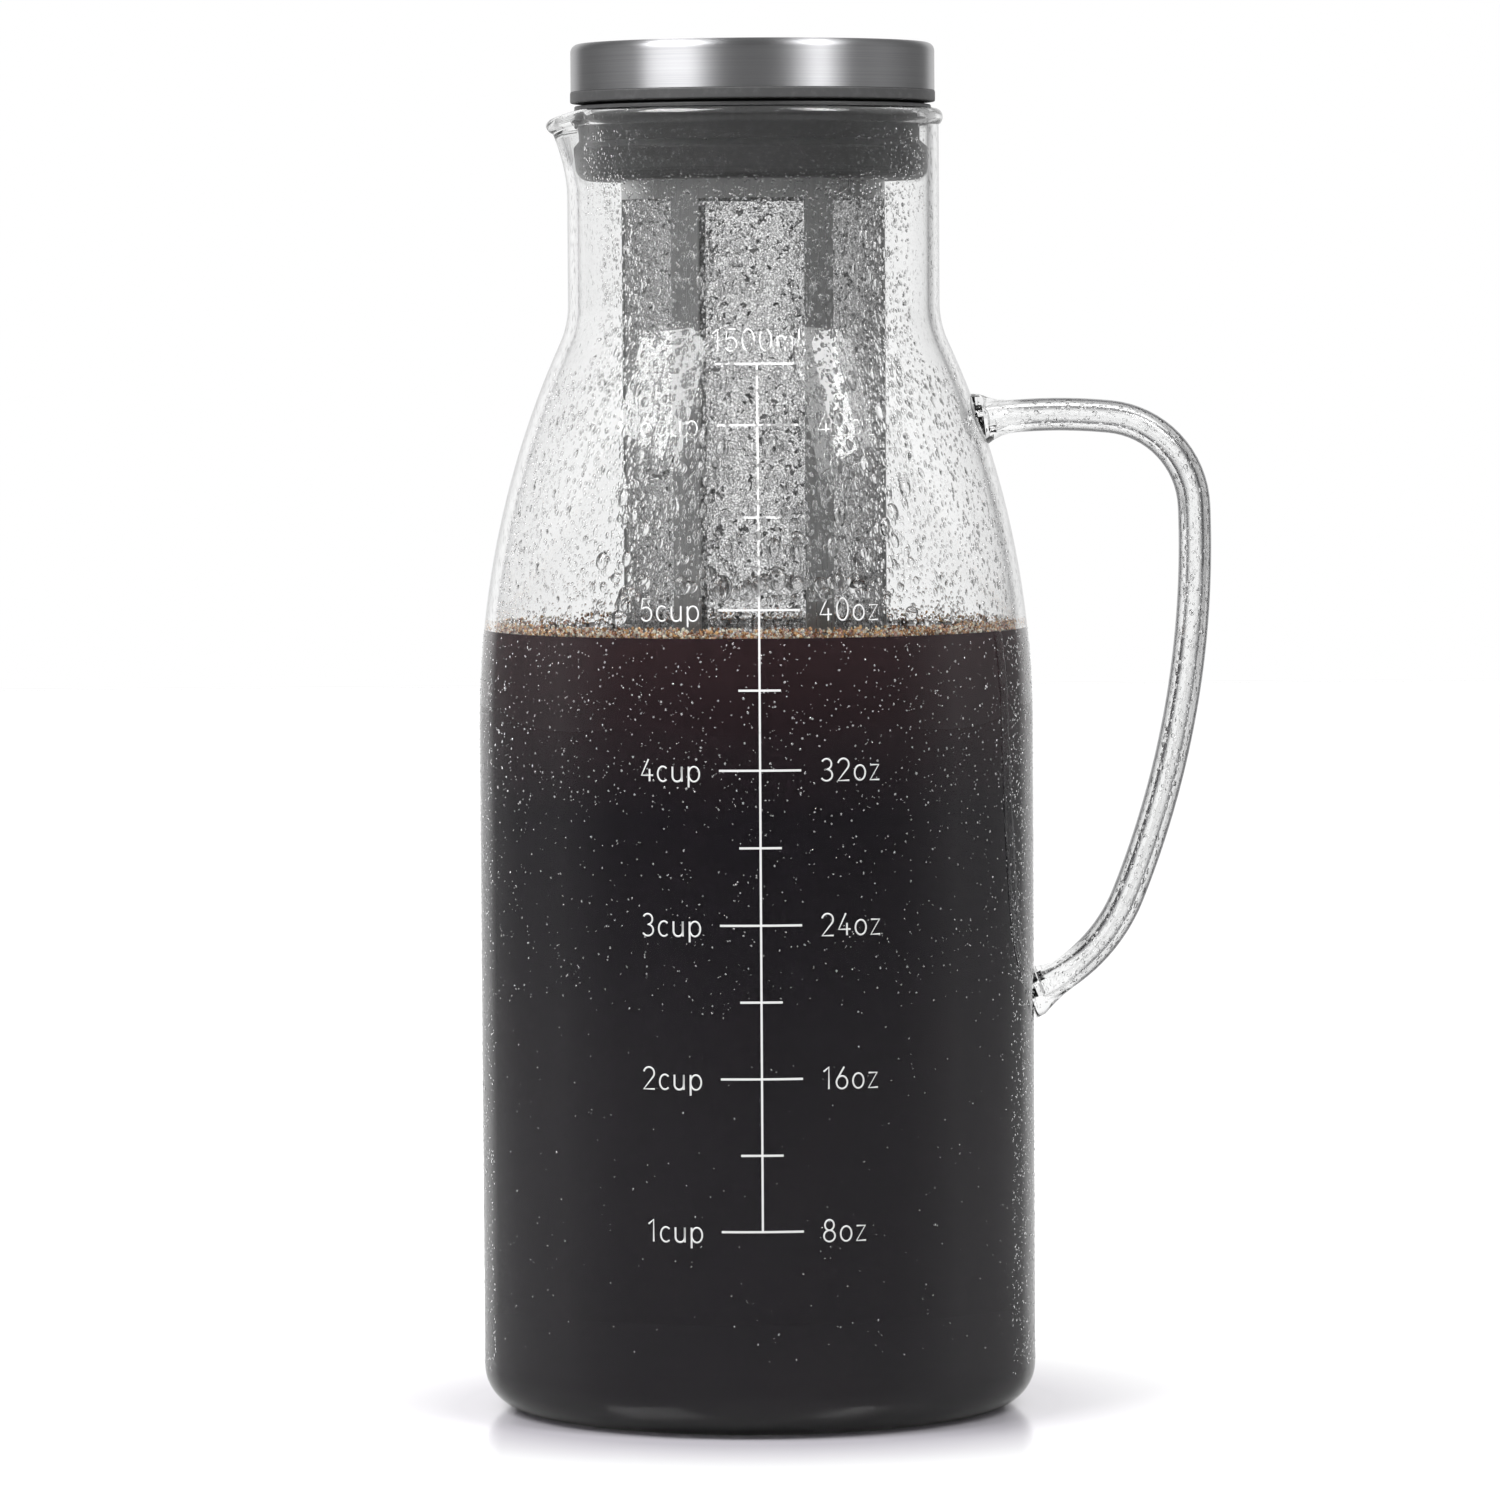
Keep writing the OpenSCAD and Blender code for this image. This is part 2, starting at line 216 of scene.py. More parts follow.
def join(pieces: list[bpy.types.Object], name: str) -> bpy.types.Object:
    """Join several objects to one.

    Args:
        pieces: The objects, the first of which stays.
        name: Name of the joined piece.

    Returns:
        The joined piece.
    """
    make_active(pieces[0])
    for piece in pieces:
        piece.select_set(True)
    bpy.ops.object.join()
    pieces[0].name = pieces[0].data.name = name
    return pieces[0]


def link(name: str, data: bpy.types.ID) -> bpy.types.Object:
    """Put new data into the scene as an object and return the object."""
    piece = bpy.data.objects.new(name, data)
    bpy.context.scene.collection.objects.link(piece)
    return piece


def take_shape(pattern: bpy.types.Object) -> tuple[np.ndarray, list[tuple[int, ...]]]:
    """Read the points and faces of a small pattern and delete it."""
    points = positions(pattern)
    faces = [tuple(face.vertices) for face in pattern.data.polygons]
    bpy.data.objects.remove(pattern)
    return points, faces


def swarm(name: str, copies: np.ndarray, faces: list[tuple[int, ...]]) -> bpy.types.Object:
    """Make one piece of many copies of a small shape.

    Args:
        name: Name of the new piece.
        copies: Points in metres: copies, then the points of each, then X, Y and Z.
        faces: The faces of one copy.

    Returns:
        The new piece.
    """
    number, count, _ = copies.shape
    mesh = bpy.data.meshes.new(name)
    cells = [tuple(n * count + v for v in face) for n in range(number) for face in faces]
    mesh.from_pydata(copies.reshape(-1, 3), [], cells)
    return link(mesh.name, mesh)


# ------------------------------------------------------------------ shader tools


class Shader:
    """A material's node tree with short calls to add and join nodes."""

    def __init__(self, name: str) -> None:
        """Start a material with one Principled BSDF.

        Args:
            name: Name of the material.
        """
        self.material = bpy.data.materials.new(name)
        self.material.use_nodes = True
        self.tree = self.material.node_tree
        self.tree.nodes.clear()
        output = self.add("ShaderNodeOutputMaterial")
        self.surface = self.add("ShaderNodeBsdfPrincipled")
        self.join((self.surface, "BSDF"), output, "Surface")

    def add(self, kind: str, **values: object) -> bpy.types.Node:
        """Add a node and set its properties or input sockets.

        Args:
            kind: Blender's name for the type of node.
            values: Properties by name. A name that isn't a property is an input socket.

        Returns:
            The new node.
        """
        node = self.tree.nodes.new(kind)
        for name, value in values.items():
            if hasattr(node, name):
                setattr(node, name, value)
            else:
                node.inputs[name.replace("_", " ")].default_value = value
        return node

    def join(self, source: Output, target: bpy.types.Node, into: str | int) -> None:
        """Link an output of one node to an input of another."""
        self.tree.links.new(source[0].outputs[source[1]], target.inputs[into])

    def set(self, **values: object) -> None:
        """Set sockets of the Principled BSDF to plain values, or link them to outputs."""
        for name, value in values.items():
            socket = name.replace("_", " ")
            if isinstance(value, tuple) and isinstance(value[0], bpy.types.Node):
                self.join(value, self.surface, socket)
            else:
                self.surface.inputs[socket].default_value = value

    def math(self, operation: str, first: Output | float, second: Output | float) -> Output:
        """Add a Math node whose inputs are numbers or outputs, and return its output."""
        node = self.add("ShaderNodeMath", operation=operation)
        for index, value in enumerate((first, second)):
            if isinstance(value, tuple):
                self.join(value, node, index)
            else:
                node.inputs[index].default_value = value
        return node, 0

    def between(self, source: Output, start: Point, end: Point = (0.0, 1.0)) -> Output:
        """Map one range of values to another, and keep to its ends beyond it.

        Args:
            source: The output that is mapped.
            start: The range that it comes from.
            end: The range that it goes to.

        Returns:
            The output of the Map Range node.
        """
        node = self.add("ShaderNodeMapRange")
        node.inputs["From Min"].default_value, node.inputs["From Max"].default_value = start
        node.inputs["To Min"].default_value, node.inputs["To Max"].default_value = end
        self.join(source, node, "Value")
        return node, "Result"

    def ramp(self, source: Output, stops: list[tuple[float, Colour]]) -> Output:
        """Turn a value into a colour by a Color Ramp.

        Args:
            source: The output that drives the ramp.
            stops: Places from 0 to 1, each with its RGB colour.

        Returns:
            The output of the Color Ramp.
        """
        node = self.add("ShaderNodeValToRGB")
        set_stops(node, stops)
        self.join(source, node, "Fac")
        return node, "Color"

    def bump(self, height: Output, distance: float) -> None:
        """Feed a height to the surface's normal through a Bump node."""
        node = self.add("ShaderNodeBump", Distance=distance)
        self.join(height, node, "Height")
        self.set(Normal=(node, "Normal"))

    def facing(self) -> Output:
        """Give 0 where the surface faces the eye and 1 where it is seen edge on."""
        return self.add("ShaderNodeLayerWeight", Blend=0.5), "Facing"

    def attribute(self, name: str) -> Output:
        """Give one of the piece's own attributes."""
        return self.add("ShaderNodeAttribute", attribute_name=name), "Fac"

    def coordinates(self, scale: tuple[float, float, float] = (1, 1, 1)) -> Output:
        """Give the object coordinates, scaled by a Mapping node."""
        mapping = self.add("ShaderNodeMapping", Scale=scale)
        self.join((self.add("ShaderNodeTexCoord"), "Object"), mapping, "Vector")
        return mapping, "Vector"

    def axis(self, name: str) -> Output:
        """Give one of the object coordinates, X, Y or Z, in metres."""
        axes = self.add("ShaderNodeSeparateXYZ")
        self.join(self.coordinates(), axes, "Vector")
        return axes, name

    def noise(self, place: Output, scale: float, detail: float = 2.0) -> Output:
        """Give plain noise at a place."""
        node = self.add("ShaderNodeTexNoise", Scale=scale, Detail=detail)
        self.join(place, node, "Vector")
        return node, "Fac"

    def group(self, tree: bpy.types.NodeTree, out: str, **inputs: Output | float) -> Output:
        """Place a node group.

        Args:
            tree: The group.
            out: The output that is wanted.
            inputs: Numbers or outputs for the group's inputs, by name.

        Returns:
            That output of the group.
        """
        node = self.add("ShaderNodeGroup", node_tree=tree)
        for name, value in inputs.items():
            if isinstance(value, tuple):
                self.join(value, node, name)
            else:
                node.inputs[name].default_value = value
        return node, out

    def uneven(self, scale: float, contrast: float) -> Output:
        """Give the uneven mask, with its cells a metre and how far it goes to each side."""
        return self.group(uneven_group(), "Mask", Scale=scale, Contrast=contrast)


def grey(level: float) -> Colour:
    """Give the grey of a level."""
    return (level, level, level)


def in_metres(span: Point) -> Point:
    """Turn a range from millimetres into metres."""
    return (span[0] * MM, span[1] * MM)


def set_stops(node: bpy.types.Node, stops: list[tuple[float, Colour]]) -> None:
    """Set the stops of a Color Ramp.

    Args:
        node: The Color Ramp node.
        stops: Places from 0 to 1, each with its RGB colour.
    """
    while len(node.color_ramp.elements) < len(stops):
        node.color_ramp.elements.new(0.5)
    for element, (place, colour) in zip(node.color_ramp.elements, stops):
        element.position = place
        element.color = (*colour, 1)


class Group:
    """A node group with short calls to add its sockets and nodes."""

    def __init__(self, name: str, inputs: tuple[str, ...], result: str) -> None:
        """Start a group of numbers.

        Args:
            name: Name of the group.
            inputs: Names of its inputs.
            result: Name of its output.
        """
        self.tree = bpy.data.node_groups.new(name, "ShaderNodeTree")
        for socket in inputs:
            self.tree.interface.new_socket(
                socket, in_out="INPUT", socket_type="NodeSocketFloat"
            )
        self.tree.interface.new_socket(result, in_out="OUTPUT", socket_type="NodeSocketFloat")
        self.entry = self.tree.nodes.new("NodeGroupInput")
        self.leave = self.tree.nodes.new("NodeGroupOutput")

    def add(self, kind: str, **inputs: bpy.types.NodeSocket | float) -> bpy.types.NodeOutputs:
        """Add a node, set or link its inputs by name, and return its outputs."""
        node = self.tree.nodes.new(kind)
        for name, value in inputs.items():
            if isinstance(value, bpy.types.NodeSocket):
                self.tree.links.new(value, node.inputs[name])
            else:
                node.inputs[name].default_value = value
        return node.outputs

    def step(
        self,
        operation: str,
        first: bpy.types.NodeSocket,
        second: bpy.types.NodeSocket | float = 0.0,
    ) -> bpy.types.NodeSocket:
        """Add one step of arithmetic.

        Args:
            operation: What the Math node does.
            first: Its first input.
            second: Its second input, an output to link or a number.

        Returns:
            The output of the Math node.
        """
        node = self.tree.nodes.new("ShaderNodeMath")
        node.operation = operation
        self.tree.links.new(first, node.inputs[0])
        if isinstance(second, float):
            node.inputs[1].default_value = second
        else:
            self.tree.links.new(second, node.inputs[1])
        return node.outputs[0]

    def finish(self, value: bpy.types.NodeSocket) -> bpy.types.NodeTree:
        """Link the group's output and return the group."""
        self.tree.links.new(value, self.leave.inputs[0])
        return self.tree


@functools.cache
def uneven_group() -> bpy.types.NodeTree:
    """Build, once, the group that gives a faint uneven mask to any finish.

    Returns:
        A node group with inputs Scale and Contrast and the output Mask.
    """
    group = Group("uneven_mask", ("Scale", "Contrast"), "Mask")
    place = group.add("ShaderNodeTexCoord")["Object"]
    scale, contrast = (group.entry.outputs[name] for name in ("Scale", "Contrast"))
    noise = group.add("ShaderNodeTexNoise", Vector=place, Scale=scale, Detail=4.0)
    centred = group.step("SUBTRACT", noise["Fac"], 0.5)
    return group.finish(group.step("MULTIPLY", centred, contrast))


@functools.cache
def mist_group() -> bpy.types.NodeTree:
    """Build, once, the group that gives the height of tiny scattered drops.

    Each drop is the cap of a ball, so that it is steepest at its edge.

    Returns:
        A node group with inputs Scale and Share and the output Height, in cells.
    """
    tallness, smallest, spread = 0.85, 0.2, 0.25
    group = Group("mist_height", ("Scale", "Share"), "Height")
    place = group.add("ShaderNodeTexCoord")["Object"]
    scale, share = (group.entry.outputs[name] for name in ("Scale", "Share"))
    squeezed = group.add("ShaderNodeMapping", Vector=place, Scale=(1, 1, tallness))["Vector"]
    cells = group.add("ShaderNodeTexVoronoi", Vector=squeezed, Scale=scale)
    chance = group.add("ShaderNodeSeparateColor", Color=cells["Color"])
    present = group.step("LESS_THAN", chance["Red"], share)
    radius = group.step("ADD", group.step("MULTIPLY", chance["Green"], spread), smallest)
    away = group.step("POWER", cells["Distance"], 2.0)
    inside = group.step("SUBTRACT", group.step("POWER", radius, 2.0), away)
    cap = group.step("SQRT", group.step("MAXIMUM", inside, 0.0))
    return group.finish(group.step("MULTIPLY", cap, present))


# ------------------------------------------------------------------ finishes


@dataclass(frozen=True)
class GlassFinish:
    """Clear borosilicate glass with fine condensation, and painted shade: a little grey seen edge
    on.

    Places of the mist are in millimetres, its drops in cells a metre and its waves in
    metres. What depends on the view goes from 0 (face on) to 1 (edge on).
    """

    name: str = "misted_glass"
    ior: float = 1.47
    clear: Colour = (0.998, 1.0, 1.0)
    # Painted shade: the grey that the glass turns where it is seen edge on.
    edge: Colour = (0.2, 0.2, 0.21)
    edge_shade_span: Point = (0.8, 0.9)
    mirror: float = 0.5
    edge_mirror: float = 0.1
    foot_ior: float | None = None
    mist_scales: Point = (900.0, 1700.0)
    mist_share: Point = (0.0, 0.5)
    mist_from: Point = (146.0, 156.0)
    mist_back: Point = (-15.0, 15.0)
    back_share: float = 0.1
    mist_aslant: Point = (0.35, 0.6)
    mist_steep: float = 0.13
    wave_scale: float = 45.0
    wave_depth: float = 0.000007

    def material(self) -> bpy.types.Material:
        """Build the material."""
        shader = Shader(self.name)
        shader.set(Roughness=0.0, IOR=self.ior, Transmission_Weight=1.0, Metallic=0.0)
        facing = shader.facing()
        mirror = shader.between(facing, self.edge_shade_span, (self.mirror, self.edge_mirror * self.mirror))
        shader.set(Specular_IOR_Level=mirror)
        if self.foot_ior is None:
            aslant = facing
        else:
            foot = shader.attribute("foot")
            aslant = shader.math("MULTIPLY", facing, shader.math("SUBTRACT", 1.0, foot))
            shader.set(IOR=shader.between(foot, (0.0, 1.0), (self.ior, self.foot_ior)))
        # Painted shade: the glass's colour turns grey where it is seen edge on, less so near the
        # handle's welds.
        stops = [(self.edge_shade_span[0], self.clear), (self.edge_shade_span[1], self.edge)]
        shader.set(Base_Color=shader.ramp(aslant, stops))
        waves = shader.noise(shader.coordinates(), self.wave_scale, detail=1.0)
        height = shader.math("MULTIPLY", waves, self.wave_depth)
        if max(self.mist_share) > 0:
            height = self.mist(shader, facing, height)
        shader.bump(height, 1.0)
        return shader.material

    def mist(self, shader: Shader, facing: Output, height: Output) -> Output:
        """Add the fine drops to the glass's height.

        Args:
            shader: The glass's material.
            facing: How far the glass is seen edge on.
            height: The height so far, in metres.

        Returns:
            The height with the drops.
        """
        share = shader.between(shader.axis("Z"), in_metres(self.mist_from), self.mist_share)
        back = in_metres(self.mist_back)
        front = shader.between(shader.axis("Y"), back, (1.0, self.back_share))
        toward = shader.math(
            "MULTIPLY", front, shader.between(facing, self.mist_aslant, (1.0, 0.0))
        )
        spread = shader.math("MULTIPLY", share, toward)
        for scale in self.mist_scales:
            drops = shader.group(mist_group(), "Height", Scale=scale, Share=spread)
            film = shader.math("MULTIPLY", drops, self.mist_steep / scale)
            height = shader.math("ADD", height, film)
        return height


@dataclass(frozen=True)
class WaterFinish:
    """A bead of condensed water, with painted shade that makes it darker at its rim."""

    name: str = "condensed_water"
    ior: float = 1.33
    clear: float = 1.0
    # Painted shade: the grey of a bead's rim, where it is seen edge on.
    rim: Colour = (0.5, 0.5, 0.51)
    rim_shade_from: float = 0.88

    def material(self) -> bpy.types.Material:
        """Build the material."""
        shader = Shader(self.name)
        shader.set(Roughness=0.0, IOR=self.ior, Transmission_Weight=self.clear, Metallic=0.0)
        # Painted shade: the water's colour greys towards its rim.
        stops = [(0.0, grey(1)), (self.rim_shade_from, grey(1)), (1.0, self.rim)]
        shader.set(Base_Color=shader.ramp(shader.facing(), stops))
        return shader.material


@dataclass(frozen=True)
class CoffeeFinish:
    """Black coffee with painted light: brown where light still gets in near the top, nearly black
    below.
    """

    top: Colour = (0.044, 0.024, 0.027)
    deep: Colour = (0.011, 0.0085, 0.0125)
    level: float = 150.0
    fade: float = 34.0
    open_dark: Colour = (0.03, 0.012, 0.007)
    open_light: Colour = (0.08, 0.035, 0.018)

    def material(self) -> bpy.types.Material:
        """Build the material of the coffee where the glass wets it."""
        shader = Shader("coffee_against_glass")
        shader.set(Roughness=0.6, Specular_IOR_Level=0.0)
        # Painted light: the coffee's colour is browner towards its surface, nearly black below.
        span = in_metres((self.level - self.fade, self.level))
        depth = shader.between(shader.axis("Z"), span)
        mixed = shader.math("ADD", depth, shader.uneven(60.0, 0.25))
        shader.set(Base_Color=shader.ramp(mixed, [(0.0, self.deep), (1.0, self.top)]))
        return shader.material

    def surface_material(self) -> bpy.types.Material:
        """Build the material of the coffee's open surface."""
        shader = Shader("coffee_surface")
        shader.set(Roughness=0.04, IOR=1.33, Specular_IOR_Level=0.5)
        stops = [(0.0, self.open_dark), (1.0, self.open_light)]
        shader.set(Base_Color=shader.ramp(shader.uneven(90.0, 0.5), stops))
        return shader.material


@dataclass(frozen=True)
class FoamFinish:
    """Tan froth with darker bubbles, each with a tone of its own."""

    tones: tuple[tuple[float, Colour], ...] = (
        (0.0, (0.03, 0.012, 0.01)),
        (0.28, (0.3, 0.12, 0.05)),
        (0.45, (0.95, 0.6, 0.28)),
        (0.58, (0.6, 0.32, 0.26)),
        (0.75, (1.0, 0.95, 0.8)),
    )
    own_share: float = 0.75
    patch_share: float = 0.35
    patch_scale: float = 500.0

    def material(self) -> bpy.types.Material:
        """Build the material."""
        shader = Shader("coffee_foam")
        shader.set(Roughness=0.12, IOR=1.33, Specular_IOR_Level=0.9)
        own = shader.math("MULTIPLY", shader.attribute("tone"), self.own_share)
        patches = shader.noise(shader.coordinates(), self.patch_scale)
        mixed = shader.math("ADD", own, shader.math("MULTIPLY", patches, self.patch_share))
        shader.set(Base_Color=shader.ramp(mixed, list(self.tones)))
        return shader.material


@dataclass(frozen=True)
class SiliconeFinish:
    """Dark moulded silicone with a satin skin and a trace of dust."""

    colour: Colour = (0.042, 0.042, 0.043)
    worn: Colour = (0.066, 0.066, 0.067)
    roughness: float = 0.5
    grain: float = 0.00002

    def material(self) -> bpy.types.Material:
        """Build the material."""
        shader = Shader("dark_silicone")
        skin = shader.uneven(900.0, 0.8)
        tint = shader.ramp(skin, [(0.0, self.colour), (0.3, self.worn)])
        rough = shader.math("ADD", shader.uneven(120.0, 0.3), self.roughness)
        shader.set(Specular_IOR_Level=0.4, Base_Color=tint, Roughness=rough)
        shader.bump(skin, self.grain)
        return shader.material


class Brushing(Enum):
    """The way that a steel surface is brushed: the scale of its lines on X, Y and Z."""

    ROUND = (25.0, 25.0, 9000.0)
    UPRIGHT = (3500.0, 3500.0, 40.0)

    @property
    def stretch(self) -> float:
        """How far the highlights are drawn out across the lines, from 0 to 1."""
        return 0.95 if self is Brushing.ROUND else 0.0


@dataclass(frozen=True)
class SteelFinish:
    """Stainless steel with fine brushed lines."""

    name: str
    colour: Colour
    brushing: Brushing
    roughness: float
    dimmed: float = 0.82
    line_rough: float = 0.16
    depth: float = 0.000004

    def material(self) -> bpy.types.Material:
        """Build the material."""
        shader = Shader(self.name)
        shader.set(Metallic=1.0, Anisotropic=self.brushing.stretch, Anisotropic_Rotation=0.25)
        if self.brushing.stretch:
            around = shader.add("ShaderNodeTangent", direction_type="RADIAL", axis="Z")
            shader.set(Tangent=(around, "Tangent"))
        lines = shader.noise(shader.coordinates(self.brushing.value), 1.0, detail=3.0)
        dim = tuple(self.dimmed * c for c in self.colour)
        uneven = shader.math("MULTIPLY", lines, self.line_rough)
        rough = shader.math("ADD", uneven, self.roughness - self.line_rough / 2)
        shader.set(Base_Color=shader.ramp(lines, [(0.3, dim), (0.7, self.colour)]), Roughness=rough)
        shader.bump(lines, self.depth)
        return shader.material


@dataclass(frozen=True)
class MeshFinish:
    """Fine woven stainless wire, partly filled with water: pores in a bright matt sheet."""

    wire: Colour = grey(1.0)
    pore: Colour = grey(0.2)
    pitch: float = 0.42
    radius: float = 24.7
    cover: Point = (0.08, 0.55)
    covered_at: float = 0.75
    pore_scale: float = 2800.0
    pore_contrast: float = 2.6
    clump_scale: float = 700.0
    clump_from: float = 0.12
    blotch_scale: float = 1900.0
    blotch_contrast: float = 4.0
    weave_share: float = 0.35
    weave_depth: float = 0.00004

    def weave(self, shader: Shader) -> Output:
        """Give the height of the woven wires, from -1 to 1."""
        wave = 2 * math.pi / (self.pitch * MM)
        turn = shader.math("ARCTAN2", shader.axis("Y"), shader.axis("X"))
        along = shader.math("MULTIPLY", turn, round(self.radius * MM * wave))
        warp = shader.math("SINE", along, 0.0)
        weft = shader.math("SINE", shader.math("MULTIPLY", shader.axis("Z"), wave), 0.0)
        return shader.math("MULTIPLY", warp, weft)

    def material(self) -> bpy.types.Material:
        """Build the material, which lets less light through where it is seen aslant."""
        shader = Shader("woven_steel")
        shader.set(Metallic=0.6, Roughness=0.5)
        cover = shader.between(shader.facing(), (0.0, self.covered_at), self.cover)
        clumps = shader.uneven(self.clump_scale, 1.0)
        clump = shader.math("GREATER_THAN", clumps, self.clump_from)
        closed = shader.math("ADD", cover, shader.uneven(self.pore_scale, self.pore_contrast))
        solid = shader.math("MAXIMUM", closed, clump)
        solid[0].use_clamp = True
        weave = self.weave(shader)
        grid = shader.math("MULTIPLY", weave, self.weave_share)
        level = shader.math("ADD", grid, shader.uneven(self.blotch_scale, self.blotch_contrast))
        wet = shader.math("SUBTRACT", level, clump)
        tint = shader.ramp(wet, [(0.0, self.pore), (0.5, self.wire)])
        shader.set(Alpha=solid, Base_Color=tint)
        shader.bump(weave, self.weave_depth)
        return shader.material


@dataclass(frozen=True)
class EnamelFinish:
    """White enamel fired on to the glass, with painted light: lighter where no coffee stands behind
    it, and a little see-through there.
    """

    colour: Colour = grey(0.55)
    backlit_tint: Colour = grey(0.66)
    backlit_from: Point = (158.0, 170.0)
    upper_cover: float = 0.9

    def material(self) -> bpy.types.Material:
        """Build the material."""
        shader = Shader("white_enamel")
        shader.set(Roughness=0.5, Specular_IOR_Level=0.3)
        height = shader.between(shader.axis("Z"), in_metres(self.backlit_from))
        cover = shader.ramp(height, [(0.0, grey(1)), (1.0, grey(self.upper_cover))])
        # Painted light: the enamel is lighter above the coffee, where light from behind comes
        # through.
        fade = shader.math("ADD", height, shader.uneven(1500.0, 0.5))
        tint = shader.ramp(fade, [(0.0, self.colour), (1.0, self.backlit_tint)])
        shader.set(Alpha=cover, Base_Color=tint)
        return shader.material


@dataclass(frozen=True)
class PlasticFinish:
    """Dark moulded plastic."""

    colour: Colour = (0.03, 0.03, 0.032)
    lighter: float = 1.3
    roughness: float = 0.42
    grain: float = 0.00001

    def material(self) -> bpy.types.Material:
        """Build the material."""
        shader = Shader("dark_plastic")
        grain = shader.uneven(1200.0, 0.3)
        rough = shader.math("ADD", grain, self.roughness)
        light = tuple(self.lighter * c for c in self.colour)
        tint = shader.ramp(rough, [(0.3, self.colour), (0.6, light)])
        shader.set(Specular_IOR_Level=0.5, Roughness=rough, Base_Color=tint)
        shader.bump(grain, self.grain)
        return shader.material


def dress(piece: bpy.types.Object, material: bpy.types.Material) -> None:
    """Give a piece one material in place of any it has.

    Args:
        piece: A new piece or a CAD node.
        material: The finish.
    """
    piece.data.materials.clear()
    piece.data.materials.append(material)
    LOG.info("%s: %d faces, %s", piece.name, len(piece.data.polygons), material.name)


def hand_over(piece: bpy.types.Object, slot: Slot | None = None, *nodes: str) -> None:
    """Put a finished piece on the jug's body and hide the CAD nodes that it replaces.

    Args:
        piece: The finished piece.
        slot: Not used.
        nodes: The CAD nodes that it replaces.
    """
    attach(piece, CARAFE)
    if nodes:
        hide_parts(*nodes)


# ------------------------------------------------------------------ glass jug


@dataclass
class GlassJug:
    """The blown jug, its pouring lip and the hollow handle that is fused to it."""

    body_r: float = 53.2
    body_h: float = 249.4
    wall: float = 2.0
    floor: float = 4.0
    base_corner: float = 8.0
    inner_corner: float = 8.0
    base_rings: tuple[float, ...] = (6, 20, 34, 42)
    floor_rings: tuple[float, ...] = (38, 26, 14, 5)
    straight_from: float = 22.0
    straight_gap: float = 10.0
    shoulder_z: float = 132.0
    shoulder_r: float = 175.0
    neck_r: float = 35.7
    neck_fillet: float = 18.0
    lip_h: float = 16.4
    lip_reach: float = 3.2
    lip_half_angle: float = 25.0
    lip_drop: float = 1.6
    lip_width_power: float = 0.85
    lip_rise_power: float = 1.8
    bead: float = 0.8
    bead_half_h: float = 1.65
    handle_reach: float = 87.8
    handle_mid_z: float = 165.7
    handle_t: float = 6.3
    handle_w: float = 9.6
    handle_wall: float = 1.2
    foot_swell: float = 0.68
    foot_run: float = 6.5
    foot_sink: float = 1.2
    foot_mark: float = 1.2
    foot_clear: float = 8.0
    bore_end: float = 0.9
    tube_step: float = 1.6
    upper_foot_x: float = 43.4
    arc_radii: tuple[float, float, float, float] = (103.0, 18.0, 181.0, 33.0)
    arc_joints: tuple[float, float, float] = (84.3, 2.3, -22.0)
    nodes: tuple[str, ...] = ("carafe_body", "carafe_shoulder", "carafe_neck", "carafe_handle")
    finish: GlassFinish = GlassFinish()
    inner_finish: GlassFinish = GlassFinish("inner_glass", mist_share=(0.0, 0.0), mirror=0.15)
    handle_finish: GlassFinish = GlassFinish(
        "handle_glass",
        # Painted shade: the handle's glass turns nearly black where it is seen edge on.
        edge=(0.02, 0.02, 0.022),
        edge_shade_span=(0.35, 0.66),
        foot_ior=1.15,
        mist_scales=(800.0, 1500.0),
        mist_share=(0.3, 0.3),
        mist_back=(100.0, 200.0),
        mist_steep=0.5,
    )

    @property
    def bore_r(self) -> float:
        """Radius of the inside of the neck."""
        return self.neck_r - self.wall

    @property
    def lip_z(self) -> float:
        """Height where the lip starts to flare."""
        return self.body_h - self.lip_h

    @property
    def roll_z(self) -> float:
        """Height of the middle of the rolled rim."""
        return self.body_h - self.bead_half_h

    def shoulder(self) -> tuple[Point, Point, float]:
        """Work out the shoulder's curves.

        Returns:
            The centre of the long curve, the centre of the hollow curve above it, and the
            angle at which the two meet.
        """
        long_c = (self.body_r - self.shoulder_r, self.shoulder_z)
        reach = self.neck_r + self.neck_fillet - long_c[0]
        rise = math.sqrt((self.shoulder_r + self.neck_fillet) ** 2 - reach**2)
        hollow_c = (self.neck_r + self.neck_fillet, self.shoulder_z + rise)
        return long_c, hollow_c, math.degrees(math.atan2(rise, reach))

    def side(self, out: float) -> list[Point]:
        """Give the outer outline from the floor's edge to the straight neck, moved out.

        Args:
            out: How far outside the glass the outline lies. Minus the wall is the inside.

        Returns:
            Points of radius and height, upwards.
        """
        long_c, hollow_c, meet = self.shoulder()
        levels = np.linspace(self.straight_from, self.shoulder_z - self.straight_gap, 8)
        return (
            [(self.body_r + out, z) for z in levels]
            + arc(long_c, self.shoulder_r + out, 0, meet, 26)
            + arc(hollow_c, self.neck_fillet - out, 180 + meet, 180, 10)[1:]
        )

    def surface(self, heights: np.ndarray) -> tuple[np.ndarray, np.ndarray]:
        """Give the outer surface's radius and slope at many heights.

        Args:
            heights: Heights between the base corner and the start of the lip.

        Returns:
            The radii, and the angles of the outward normal above the horizontal in radians.
        """
        corner = self.base_corner
        outline = arc((self.body_r - corner, corner), corner, -60, 0, 8)
        outline += self.side(0) + [(self.neck_r, self.body_h)]
        radii, levels = np.array(outline).T
        radius = np.interp(heights, levels, radii)
        step = 0.2
        rise = np.interp(heights + step, levels, radii) - np.interp(heights - step, levels, radii)
        return radius, np.arctan2(-rise, 2 * step)

